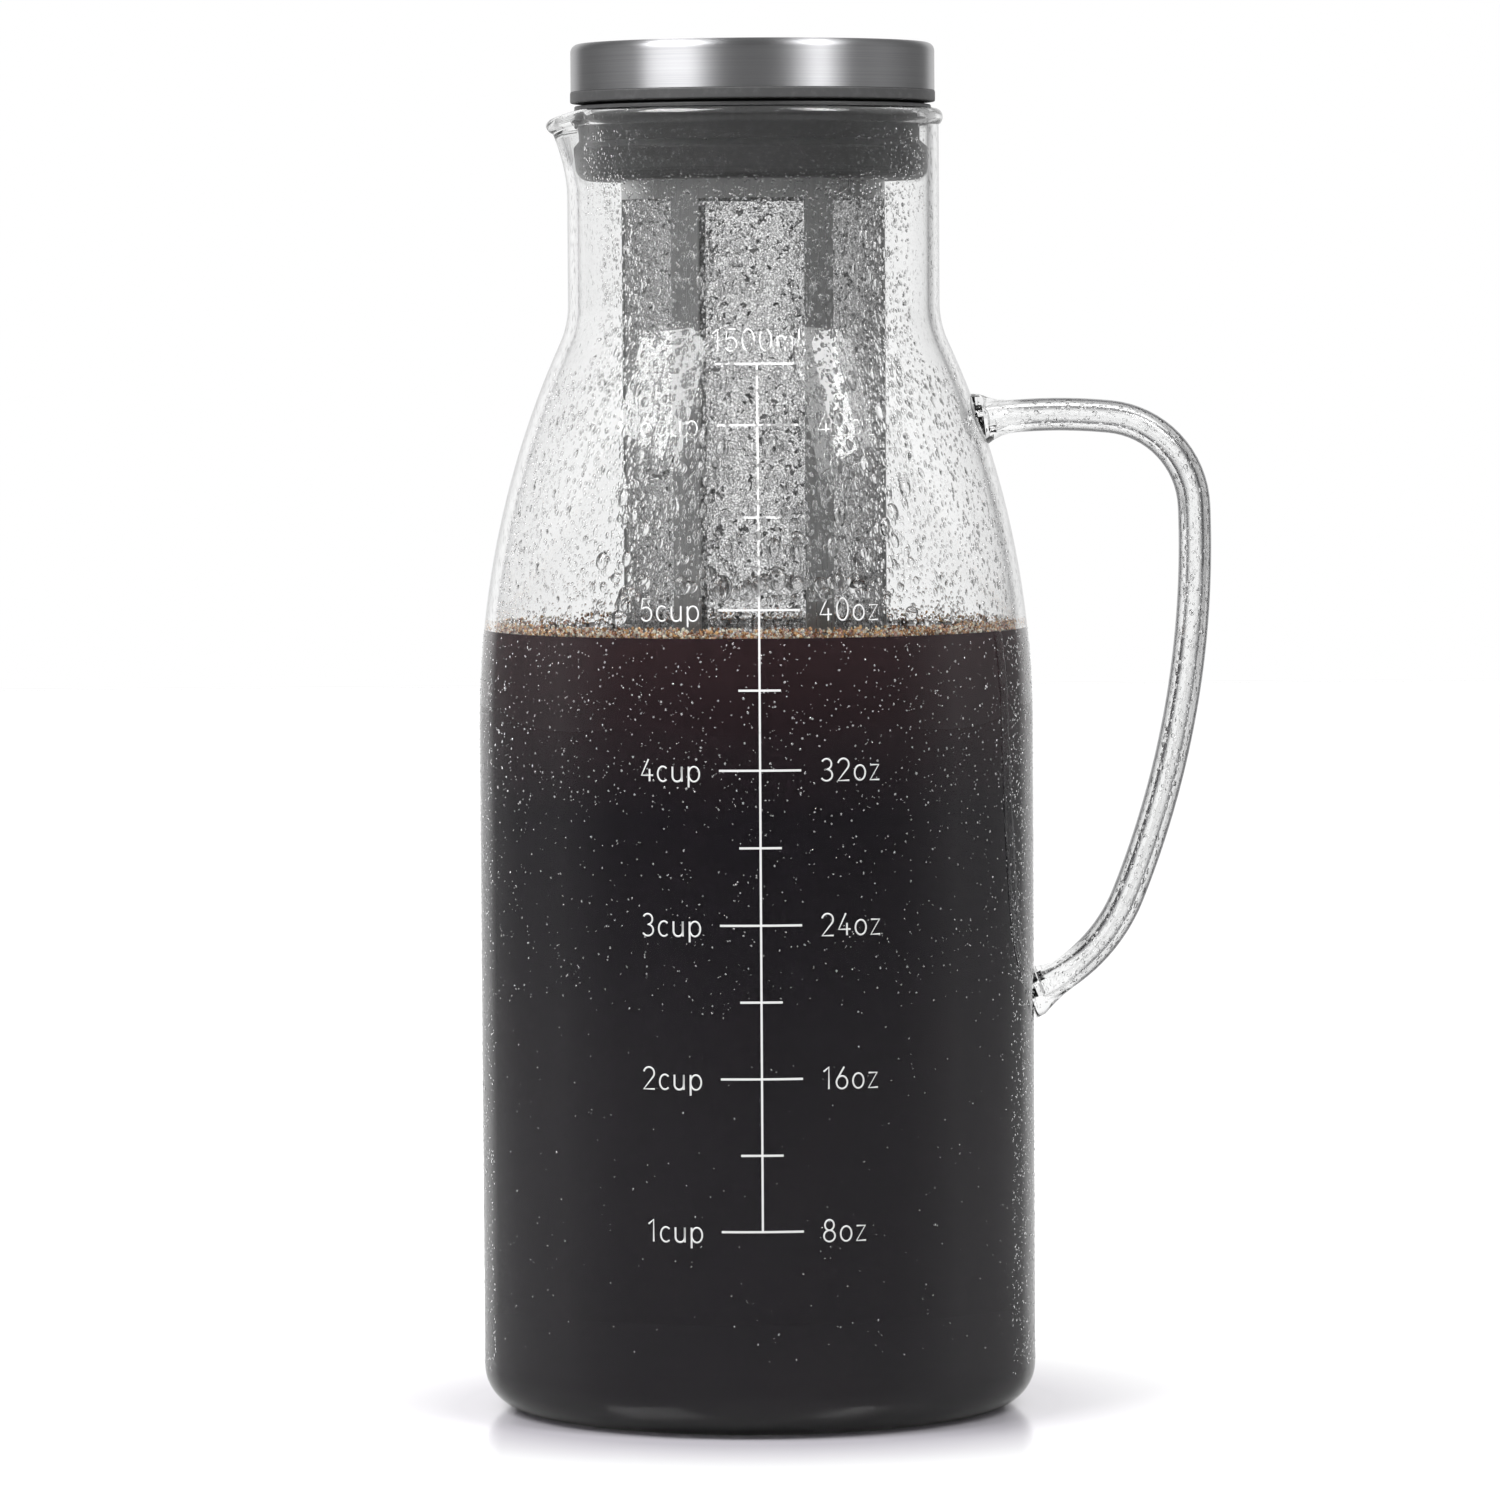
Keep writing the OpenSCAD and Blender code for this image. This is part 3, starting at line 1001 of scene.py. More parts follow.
    def outline(self) -> list[Point]:
        """Give the closed section of the glass, from the middle of the base and back."""
        corner = self.base_corner
        inner = self.body_r - self.wall - self.inner_corner
        half_w = (self.wall + self.bead) / 2
        roll = self.bore_r + half_w
        leave = -math.acos((self.wall - self.bead) / (self.wall + self.bead))
        rim = [
            (roll + half_w * math.cos(a), self.roll_z + self.bead_half_h * math.sin(a))
            for a in np.linspace(leave, math.pi, 15)
        ]
        neck = np.linspace(self.lip_z, rim[0][1], 9)[:-1]
        return (
            [(r, 0.0) for r in self.base_rings]
            + arc((self.body_r - corner, corner), corner, -90, 0, 10)
            + self.side(0)
            + [(self.neck_r, z) for z in neck]
            + rim
            + [(self.bore_r, z) for z in np.linspace(self.roll_z, self.lip_z, 9)[1:]]
            + self.side(-self.wall)[::-1]
            + arc((inner, self.floor + self.inner_corner), self.inner_corner, 0, -90, 10)
            + [(r, self.floor) for r in self.floor_rings]
        )

    def flare(self, piece: bpy.types.Object) -> None:
        """Draw the pouring lip out of the round rim.

        Args:
            piece: The turned glass, before the handle is fused to it.
        """
        points = positions(piece) / MM
        reach = np.hypot(points[:, 0], points[:, 1])
        turn = np.degrees(np.arctan2(points[:, 1], -points[:, 0]))
        off = np.clip(np.abs(turn) / self.lip_half_angle, 0, 1)
        share = ((1 + np.cos(np.pi * off)) / 2) ** self.lip_width_power
        climb = np.clip((points[:, 2] - self.lip_z) / (self.roll_z - self.lip_z), 0, 1)
        moved = reach + share * self.lip_reach * climb**self.lip_rise_power
        factor = np.where(reach > 1, moved / np.maximum(reach, 1), 1)
        points[:, :2] *= factor[:, None]
        points[:, 2] -= share * self.lip_drop * climb
        set_positions(piece, points * MM)

    def stations(self, sink: float) -> list[tuple[float, float, float]]:
        """Follow the handle's four arcs from the upper foot to the lower one.

        Args:
            sink: How deep the ends lie in the glass. A minus sign keeps them outside it.

        Returns:
            Stations of reach, height and the angle of the outward normal in degrees.
        """
        top_r, corner_r, back_r, low_r = self.arc_radii
        first_joint, second_joint, third_joint = (math.radians(a) for a in self.arc_joints)
        centre = np.array([self.handle_reach - self.handle_t / 2 - back_r, self.handle_mid_z])
        corner_c = centre + (back_r - corner_r) * heading(second_joint)
        top_c = corner_c - (top_r - corner_r) * heading(first_joint)
        low_c = centre + (back_r - low_r) * heading(third_joint)
        first = math.acos((self.upper_foot_x - sink - top_c[0]) / top_r)
        last = -math.acos((self.body_r - sink - low_c[0]) / low_r)
        runs = (
            (top_c, top_r, first, first_joint),
            (corner_c, corner_r, first_joint, second_joint),
            (centre, back_r, second_joint, third_joint),
            (low_c, low_r, third_joint, last),
        )
        path = []
        for middle, radius, start, end in runs:
            steps = max(2, round(abs(end - start) * radius / self.tube_step))
            angles = np.linspace(start, end, steps + 1)[0 if not path else 1:]
            path += [(*(middle + radius * heading(a)), math.degrees(a)) for a in angles]
        return path

    def swell(self, station: tuple[float, float, float]) -> float:
        """Say how much the tube swells at a station, 1 on its free run."""
        foot = self.upper_foot_x if station[1] > self.handle_mid_z else self.body_r
        near = max(0.0, 1 - max(0.0, station[0] - foot) / self.foot_run)
        return 1 + self.foot_swell * near**2

    def tube(self, name: str, sink: float, inset: float, sides: int) -> bpy.types.Object:
        """Model the handle's tube, or its bore, by extruding an oval along the stations.

        Args:
            name: Name of the new piece.
            sink: How deep its ends lie in the glass.
            inset: How far the oval lies inside the tube's outer face.
            sides: Number of faces round the oval.

        Returns:
            The closed tube.
        """
        path = self.stations(sink)
        half_t = (self.handle_t / 2 - inset) * MM
        half_w = (self.handle_w / 2 - inset) * MM
        clear_selection()
        bpy.ops.mesh.primitive_circle_add(vertices=sides, radius=1, fill_type="NGON")
        piece = bpy.context.object
        piece.name = piece.data.name = name
        bpy.ops.object.mode_set(mode="EDIT")
        grow = self.swell(path[0]) if inset == 0 else 1.0
        bpy.ops.transform.resize(value=(half_t * grow, half_w * grow, 1))
        bpy.ops.object.mode_set(mode="OBJECT")
        place = Matrix.Translation((path[0][0] * MM, 0, path[0][1] * MM))
        piece.data.transform(place @ Matrix.Rotation(-math.radians(path[0][2]), 4, "Y"))
        bpy.ops.object.mode_set(mode="EDIT")
        for here, there in zip(path, path[1:]):
            move = ((there[0] - here[0]) * MM, 0, (there[1] - here[1]) * MM)
            middle = (there[0] * MM, 0, there[1] * MM)
            bpy.ops.mesh.extrude_region_move(TRANSFORM_OT_translate={"value": move})
            bpy.ops.transform.rotate(
                value=math.radians(there[2] - here[2]), orient_axis="Y", center_override=middle
            )
            if inset == 0:
                ratio = self.swell(there) / self.swell(here)
                bpy.ops.transform.resize(value=(ratio, ratio, ratio), center_override=middle)
        bpy.ops.mesh.select_all(action="SELECT")
        bpy.ops.mesh.normals_make_consistent(inside=False)
        bpy.ops.object.mode_set(mode="OBJECT")
        return piece

    def zones(self, piece: bpy.types.Object) -> np.ndarray:
        """Tell the faces of the outside, the handle and the inside apart.

        Args:
            piece: The finished glass.

        Returns:
            For each face, 0 on the outside, 1 on the handle and 2 on the inside.
        """
        count = len(piece.data.polygons)
        centre, normal = np.empty(count * 3), np.empty(count * 3)
        piece.data.polygons.foreach_get("center", centre)
        piece.data.polygons.foreach_get("normal", normal)
        centre, normal = centre.reshape(-1, 3) / MM, normal.reshape(-1, 3)
        radius, _ = self.surface(centre[:, 2])
        reach = np.hypot(centre[:, 0], centre[:, 1])
        clear_of_glass, past_neck, low, level = 0.6, 3, 30, 0.1
        handle = (reach > radius + clear_of_glass) & (centre[:, 0] > self.neck_r + past_neck)
        inward = (centre[:, :2] * normal[:, :2]).sum(1) < 0
        floor = (centre[:, 2] < low) & (normal[:, 2] > level)
        return np.where(handle, 1, np.where(inward | floor, 2, 0)).astype(np.int32)

    def build(self) -> bpy.types.Object:
        """Model the jug with its lip and handle as one piece of clear glass."""
        glass = lathe("glass_jug", self.outline(), 192)
        self.flare(glass)
        handle = self.tube("handle_tube", self.foot_sink, 0.0, 40)
        boolean(glass, handle, "UNION")
        bore = self.tube("handle_bore", -self.bore_end, self.handle_wall, 32)
        make_active(bore)
        bpy.ops.object.mode_set(mode="EDIT")
        bpy.ops.mesh.select_all(action="SELECT")
        bpy.ops.mesh.flip_normals()
        bpy.ops.object.mode_set(mode="OBJECT")
        glass = join([glass, bore], "glass_jug")
        smooth(glass, angle=50)
        dress(glass, self.finish.material())
        glass.data.materials.append(self.handle_finish.material())
        glass.data.materials.append(self.inner_finish.material())
        glass.data.polygons.foreach_set("material_index", self.zones(glass))
        self.mark_feet(glass)
        hand_over(glass, Slot.GLASS, *self.nodes)
        return glass

    def mark_feet(self, glass: bpy.types.Object) -> None:
        """Write the attribute foot: 1 at the handle's welds, fading to 0 on its free run.

        Args:
            glass: The finished glass.
        """
        points = positions(glass) / MM
        away = np.hypot(points[:, 0], points[:, 1]) - self.surface(points[:, 2])[0]
        near = np.clip(self.foot_mark - away / self.foot_clear, 0, 1)
        foot = glass.data.attributes.new("foot", "FLOAT", "POINT")
        foot.data.foreach_set("value", near.astype(np.float32))


# ------------------------------------------------------------------ coffee


@dataclass
class Coffee:
    """The brewed coffee in the jug, which climbs a little where it wets the glass.

    The rings are the radii of its bottom and its open surface, and climb gives points of
    the meniscus by their distance from its edge and their height over the surface.
    """

    jug: GlassJug
    level: float = 148.9
    meniscus: float = 0.9
    wet: float = 0.12
    side_from: float = 16.0
    low_rings: tuple[float, ...] = (4, 16, 30, 40)
    open_rings: tuple[float, ...] = (44, 32, 18, 6)
    climb: tuple[Point, ...] = ((0.7, 0.45), (1.8, 0.08))
    finish: CoffeeFinish = CoffeeFinish()

    def wall_radius(self, height: float) -> float:
        """Radius of the inside of the glass at a height on the straight wall or shoulder."""
        inside = self.jug.body_r - self.jug.wall
        if height <= self.jug.shoulder_z:
            return inside
        curve = self.jug.shoulder_r - self.jug.wall
        return inside - curve + math.sqrt(curve**2 - (height - self.jug.shoulder_z) ** 2)

    def build(self) -> bpy.types.Object:
        """Model the coffee as one closed piece that wets the glass all round."""
        jug = self.jug
        corner = (jug.body_r - jug.wall - jug.inner_corner, jug.floor + jug.inner_corner)
        rise = self.level + self.meniscus
        edge = self.wall_radius(rise)
        levels = np.linspace(self.side_from, rise, 24)
        outline = (
            [(r, jug.floor - self.wet) for r in self.low_rings]
            + arc(corner, jug.inner_corner + self.wet, -90, 0, 10)
            + [(self.wall_radius(z) + self.wet, z) for z in levels]
            + [(edge - inward, self.level + up) for inward, up in self.climb]
            + [(r, self.level) for r in self.open_rings]
        )
        piece = lathe("brewed_coffee", outline, 160)
        smooth(piece, angle=50)
        dress(piece, self.finish.material())
        piece.data.materials.append(self.finish.surface_material())
        level, near_level = 0.3, (self.level - 1) * MM
        for face in piece.data.polygons:
            if face.normal.z > level and face.center.z > near_level:
                face.material_index = 1
        hand_over(piece)
        return piece


# ------------------------------------------------------------------ foam


@dataclass
class Foam:
    """Bubbles where the coffee meets the glass, thinning out towards the middle.

    front is the share of them on the camera's side. The powers, over 1, make small bubbles
    and those near the glass the more frequent, and sink lets the outermost into the glass.
    """

    coffee: Coffee
    count: int = 5200
    climb: float = 1.9
    climb_run: float = 1.6
    front: float = 0.75
    spread: float = 2.6
    sizes: Point = (0.15, 0.4)
    small_power: float = 1.7
    edge_power: float = 3.0
    sink: float = 0.1
    clear_share: float = 0.9
    seed: int = 5
    finish: FoamFinish = FoamFinish()

    def build(self) -> bpy.types.Object:
        """Model the ring of bubbles."""
        dice = np.random.default_rng(self.seed)
        low, high = self.sizes
        size = low + (high - low) * dice.random(self.count) ** self.small_power
        turn = dice.uniform(0, math.pi, self.count)
        turn = np.where(dice.random(self.count) < self.front, -turn, turn)
        inward = self.spread * dice.random(self.count) ** self.edge_power
        near_wall = np.clip(1 - inward / self.climb_run, 0, 1)
        lift = self.climb * dice.random(self.count) * near_wall
        height = self.coffee.level + self.coffee.meniscus + lift
        wall = np.array([self.coffee.wall_radius(z) for z in height])
        reach = wall + self.sink - self.clear_share * size - inward
        centre = np.stack([reach * np.cos(turn), reach * np.sin(turn), height], 1)
        clear_selection()
        bpy.ops.mesh.primitive_uv_sphere_add(segments=6, ring_count=4, radius=1)
        ball, faces = take_shape(bpy.context.object)
        points = centre[:, None, :] + size[:, None, None] * ball[None, :, :]
        piece = swarm("coffee_foam", points * MM, faces)
        own = np.repeat(dice.random(self.count), len(ball))
        tone = piece.data.attributes.new("tone", "FLOAT", "POINT")
        tone.data.foreach_set("value", own.astype(np.float32))
        smooth(piece, angle=80)
        dress(piece, self.finish.material())
        hand_over(piece)
        return piece


# ------------------------------------------------------------------ printed figures


def ring(x: float, y: float, half_w: float, half_h: float, start: float, end: float) -> list[Point]:
    """Give points along part of an ellipse, about one for every 15 degrees."""
    steps = max(3, round(abs(end - start) / 15))
    angles = [math.radians(start + (end - start) * i / steps) for i in range(steps + 1)]
    return [(x + half_w * math.cos(a), y + half_h * math.sin(a)) for a in angles]


def glyphs() -> dict[str, tuple[float, list[list[Point]]]]:
    """Draw the figures and letters of the scale as strokes, one unit high.

    Returns:
        For each character, its width and its strokes.
    """
    return {
        "0": (0.66, [ring(0.31, 0.5, 0.27, 0.5, 90, 450)]),
        "1": (0.50, [[(0.08, 0.80), (0.32, 1.0), (0.32, 0.0)]]),
        "2": (0.66, [ring(0.30, 0.73, 0.26, 0.27, 165, -38) + [(0.04, 0.0), (0.58, 0.0)]]),
        "3": (0.66, [
            ring(0.29, 0.76, 0.23, 0.24, 150, -90) + ring(0.29, 0.26, 0.27, 0.26, 90, -150)[1:]
        ]),
        "4": (0.66, [[(0.38, 1.0), (0.03, 0.27), (0.60, 0.27)], [(0.43, 0.56), (0.43, 0.0)]]),
        "5": (0.66, [
            [(0.53, 1.0), (0.13, 1.0), (0.08, 0.55)] + ring(0.30, 0.31, 0.27, 0.31, 125, -150)
        ]),
        "6": (0.66, [[(0.42, 1.0), (0.09, 0.45)] + ring(0.31, 0.29, 0.26, 0.29, 150, 510)]),
        "8": (0.66, [ring(0.31, 0.76, 0.21, 0.24, 90, 450), ring(0.31, 0.26, 0.26, 0.26, 90, 450)]),
        "c": (0.56, [ring(0.29, 0.34, 0.25, 0.34, 48, 312)]),
        "u": (0.62, [
            [(0.06, 0.68)] + ring(0.28, 0.23, 0.22, 0.23, 180, 360) + [(0.50, 0.68)],
            [(0.50, 0.68), (0.50, 0.0)],
        ]),
        "p": (0.64, [[(0.07, 0.68), (0.07, -0.26)], ring(0.32, 0.34, 0.25, 0.34, 180, 540)]),
        "o": (0.64, [ring(0.31, 0.34, 0.26, 0.34, 90, 450)]),
        "z": (0.54, [[(0.05, 0.68), (0.47, 0.68), (0.04, 0.0), (0.50, 0.0)]]),
        "m": (0.84, [
            [(0.07, 0.68), (0.07, 0.0)],
            ring(0.24, 0.46, 0.17, 0.22, 180, 0) + [(0.41, 0.0)],
            ring(0.58, 0.46, 0.17, 0.22, 180, 0) + [(0.75, 0.0)],
        ]),
        "l": (0.24, [[(0.10, 1.0), (0.10, 0.0)]]),
    }


@dataclass
class PrintedFigures:
    """The figures beside the printed scale, in the same white enamel."""

    jug: GlassJug
    finish: bpy.types.Material
    cup_marks: tuple[float, ...] = (39.2, 67.8, 96.5, 125.4, 155.2, 189.5)
    full_mark: float = 200.9
    full_gap: float = 4.4
    height: float = 4.1
    tracking: float = 0.13
    stroke: float = 0.36
    left_end: float = -11.1
    right_start: float = 11.3
    proud: float = 0.02
    flatness: float = 0.18

    def width(self, text: str) -> float:
        """Length of a line of text on the glass."""
        font = glyphs()
        return self.height * (sum(font[c][0] + self.tracking for c in text) - self.tracking)

    def strokes(self, text: str, start: float, level: float) -> list[list[Point]]:
        """Lay a line of text out along the glass.

        Args:
            text: The characters.
            start: Where it starts, measured round the glass from the scale's line.
            level: Height of the middle of the figures.

        Returns:
            Strokes of points: distance round the glass, and height.
        """
        font = glyphs()
        lines = []
        for character in text:
            advance, drawn = font[character]
            lines += [
                [(start + x * self.height, level + (y - 0.5) * self.height) for x, y in stroke]
                for stroke in drawn
            ]
            start += (advance + self.tracking) * self.height
        return lines

    def build(self) -> bpy.types.Object:
        """Model all the figures as flattened strokes that follow the glass."""
        lines = []
        for number, level in enumerate(self.cup_marks, 1):
            cups, ounces = f"{number}cup", f"{number * 8}oz"
            lines += self.strokes(cups, self.left_end - self.width(cups), level)
            lines += self.strokes(ounces, self.right_start, level)
        full = "1500ml"
        lines += self.strokes(full, -self.width(full) / 2, self.full_mark + self.full_gap)
        curve = bpy.data.curves.new("printed_figures", "CURVE")
        curve.dimensions = "3D"
        curve.bevel_depth = self.stroke / 2 * MM
        curve.bevel_resolution = 1
        curve.use_fill_caps = True
        for line in lines:
            spline = curve.splines.new("POLY")
            closed = math.dist(line[0], line[-1]) < SLACK
            points = line[:-1] if closed else line
            spline.points.add(len(points) - 1)
            spline.use_cyclic_u = closed
            for point, (along, level) in zip(spline.points, points):
                point.co = (along * MM, 0, level * MM, 1)
        piece = link("printed_figures", curve)
        make_active(piece)
        bpy.ops.object.convert(target="MESH")
        self.wrap(piece)
        dress(piece, self.finish)
        hand_over(piece, Slot.ENAMEL)
        return piece

    def wrap(self, piece: bpy.types.Object) -> None:
        """Lay the flat strokes on the glass.

        Args:
            piece: Strokes in the XZ plane, which turn into paint on the front of the jug.
        """
        points = positions(piece) / MM
        radius, slope = self.jug.surface(points[:, 2])
        out = self.proud - self.flatness * points[:, 1]
        reach = radius + out * np.cos(slope)
        turn = points[:, 0] / radius
        wrapped = np.stack(
            [reach * np.sin(turn), -reach * np.cos(turn), points[:, 2] + out * np.sin(slope)], 1
        )
        set_positions(piece, wrapped * MM)


# ------------------------------------------------------------------ condensation


@dataclass(frozen=True)
class DropZone:
    """One band of the glass where drops of one kind sit.

    Heights and sizes (half widths) are in millimetres and turns in degrees, -90 in front.
    A skew over 1 makes small drops the more frequent, the stretch is a drop's height in
    widths, and its steepness how far it stands out.
    """

    name: str
    count: int
    heights: Point
    sizes: Point
    skew: float
    stretch: Point
    steepness: Point
    turns: Point
    segments: int = 8
    finish: WaterFinish = WaterFinish()


@dataclass
class Condensation:
    """Beads of water on the outside of the glass, as the cold jug in the photograph has.

    No drop lies on the figures just above the froth, which are print_turn radians to each
    side of the front, from print_foot to print_top.
    """

    jug: GlassJug
    zones: tuple[DropZone, ...] = (
        DropZone(
            "beads_low", 34, (153.5, 162), (1.2, 2.3), 1.0, (0.75, 1.2), (0.34, 0.5), (-125, -55),
            segments=20,
        ),
        DropZone(
            "beads", 110, (154, 200), (0.6, 1.5), 1.6, (1.0, 1.8), (0.4, 0.6), (-128, -52),
            segments=16,
        ),
        DropZone("drops", 700, (152, 226), (0.3, 0.75), 1.6, (1.0, 2.0), (0.3, 0.5), (-135, -45)),
        DropZone(
            "rim_mist", 1500, (229, 245), (0.1, 0.26), 1.5, (0.8, 1.4), (0.4, 0.6), (-155, -25)
        ),
        DropZone(
            "neck_mist", 2000, (196, 234), (0.2, 0.44), 1.2, (0.8, 1.3), (0.35, 0.6), (-145, -35)
        ),
        DropZone("neck_back", 300, (196, 234), (0.2, 0.4), 1.2, (0.8, 1.3), (0.3, 0.5), (35, 145)),
        DropZone(
            "shoulder_mist", 3600, (152, 200), (0.2, 0.42), 1.2, (0.9, 2.0), (0.35, 0.6),
            (-163, -17),
        ),
        DropZone(
            "shoulder_back", 500, (152, 200), (0.2, 0.4), 1.2, (0.8, 1.4), (0.3, 0.5), (20, 160)
        ),
        # Painted highlight: the specks' water is partly white and matt, so that they sparkle.
        *(
            DropZone(
                name, count, heights, sizes, 2.0, (0.8, 1.3), (0.4, 0.6), (-165, -15),
                finish=WaterFinish("glinting_water", clear=0.86),
            )
            for name, count, heights, sizes in (
                ("specks_high", 1400, (118, 149), (0.08, 0.24)),
                ("specks_mid", 800, (80, 118), (0.08, 0.2)),
                ("specks_low", 300, (14, 80), (0.08, 0.18)),
            )
        ),
        *(
            DropZone(name, count, (8, 150), (0.09, 0.22), 1.2, (0.8, 1.4), (0.4, 0.6), turns)
            for name, count, turns in (
                ("edge_right", 2600, (-26, 6)),
                ("edge_left", 1300, (-186, -162)),
            )
        ),
    )
    lift: float = 0.01
    lean: float = 0.12
    sag: float = 0.22
    print_turn: float = 0.47
    print_foot: float = 150.5
    print_top: float = 156.5
    seed: int = 11

    def dome(self, segments: int) -> tuple[np.ndarray, list[tuple[int, ...]]]:
        """Model one small dome by cutting a ball, and give its points and faces.

        Args:
            segments: Number of faces round the dome.

        Returns:
            The points with the flat side on Z = 0 and a radius of 1, and the faces.
        """
        clear_selection()
        rings = segments // 2 + 2
        bpy.ops.mesh.primitive_uv_sphere_add(segments=segments, ring_count=rings, radius=1)
        bpy.ops.object.mode_set(mode="EDIT")
        bpy.ops.mesh.select_all(action="SELECT")
        bpy.ops.mesh.bisect(
            plane_co=(0, 0, 0), plane_no=(0, 0, 1), clear_inner=True, use_fill=True
        )
        bpy.ops.mesh.select_all(action="SELECT")
        bpy.ops.mesh.normals_make_consistent(inside=False)
        bpy.ops.object.mode_set(mode="OBJECT")
        return take_shape(bpy.context.object)

    def scatter(self, zone: DropZone, dice: np.random.Generator, dome: np.ndarray) -> np.ndarray:
        """Place a zone's drops on the glass, but for the band of the figures above the froth.

        Args:
            zone: The zone.
            dice: Seeded random numbers.
            dome: Points of one dome.

        Returns:
            Points in metres: drops, then the points of each, then X, Y and Z.
        """
        low, high = zone.sizes
        size = low + (high - low) * dice.random(zone.count) ** zone.skew
        stretch = dice.uniform(*zone.stretch, zone.count)
        steep = dice.uniform(*zone.steepness, zone.count)
        lean = dice.normal(0, self.lean, zone.count)
        turn = np.radians(dice.uniform(*zone.turns, zone.count))
        height = dice.uniform(*zone.heights, zone.count)
        in_print = (
            (np.abs(turn + math.pi / 2) < self.print_turn)
            & (height > self.print_foot - size)
            & (height < self.print_top + size)
        )
        kept = [values[~in_print] for values in (size, stretch, steep, lean, turn, height)]
        size, stretch, steep, lean, turn, height = kept
        radius, slope = self.jug.surface(height)
        across = dome[None, :, 0] * size[:, None]
        sag = 1 - self.sag * dome[None, :, 1]
        along = dome[None, :, 1] * (size * stretch)[:, None]
        out = dome[None, :, 2] * (size * steep)[:, None] * sag
        across, along = (
            across * np.cos(lean)[:, None] - along * np.sin(lean)[:, None],
            across * np.sin(lean)[:, None] + along * np.cos(lean)[:, None],
        )
        curl = across**2 / (2 * radius[:, None])
        out = out - curl + self.lift
        reach = radius[:, None] + out * np.cos(slope)[:, None] - along * np.sin(slope)[:, None]
        level = height[:, None] + out * np.sin(slope)[:, None] + along * np.cos(slope)[:, None]
        cos, sin = np.cos(turn)[:, None], np.sin(turn)[:, None]
        return np.stack([reach * cos - across * sin, reach * sin + across * cos, level], 2) * MM

    def build(self) -> None:
        """Model the drops, a few thousand to a piece."""
        dice = np.random.default_rng(self.seed)
        waters = {}
        for zone in self.zones:
            if zone.finish not in waters:
                waters[zone.finish] = zone.finish.material()
            dome, faces = self.dome(zone.segments)
            piece = swarm(f"water_{zone.name}", self.scatter(zone, dice, dome), faces)
            smooth(piece, angle=75)
            dress(piece, waters[zone.finish])
            hand_over(piece)


# ------------------------------------------------------------------ studio


@dataclass(frozen=True)
class SoftBox:
    """One soft box, or the brighter middle of one.

    Its turn is in degrees, minus to the camera's left, and its width in metres.
    """

    name: str
    turn: float
    width: float
    radiance: float


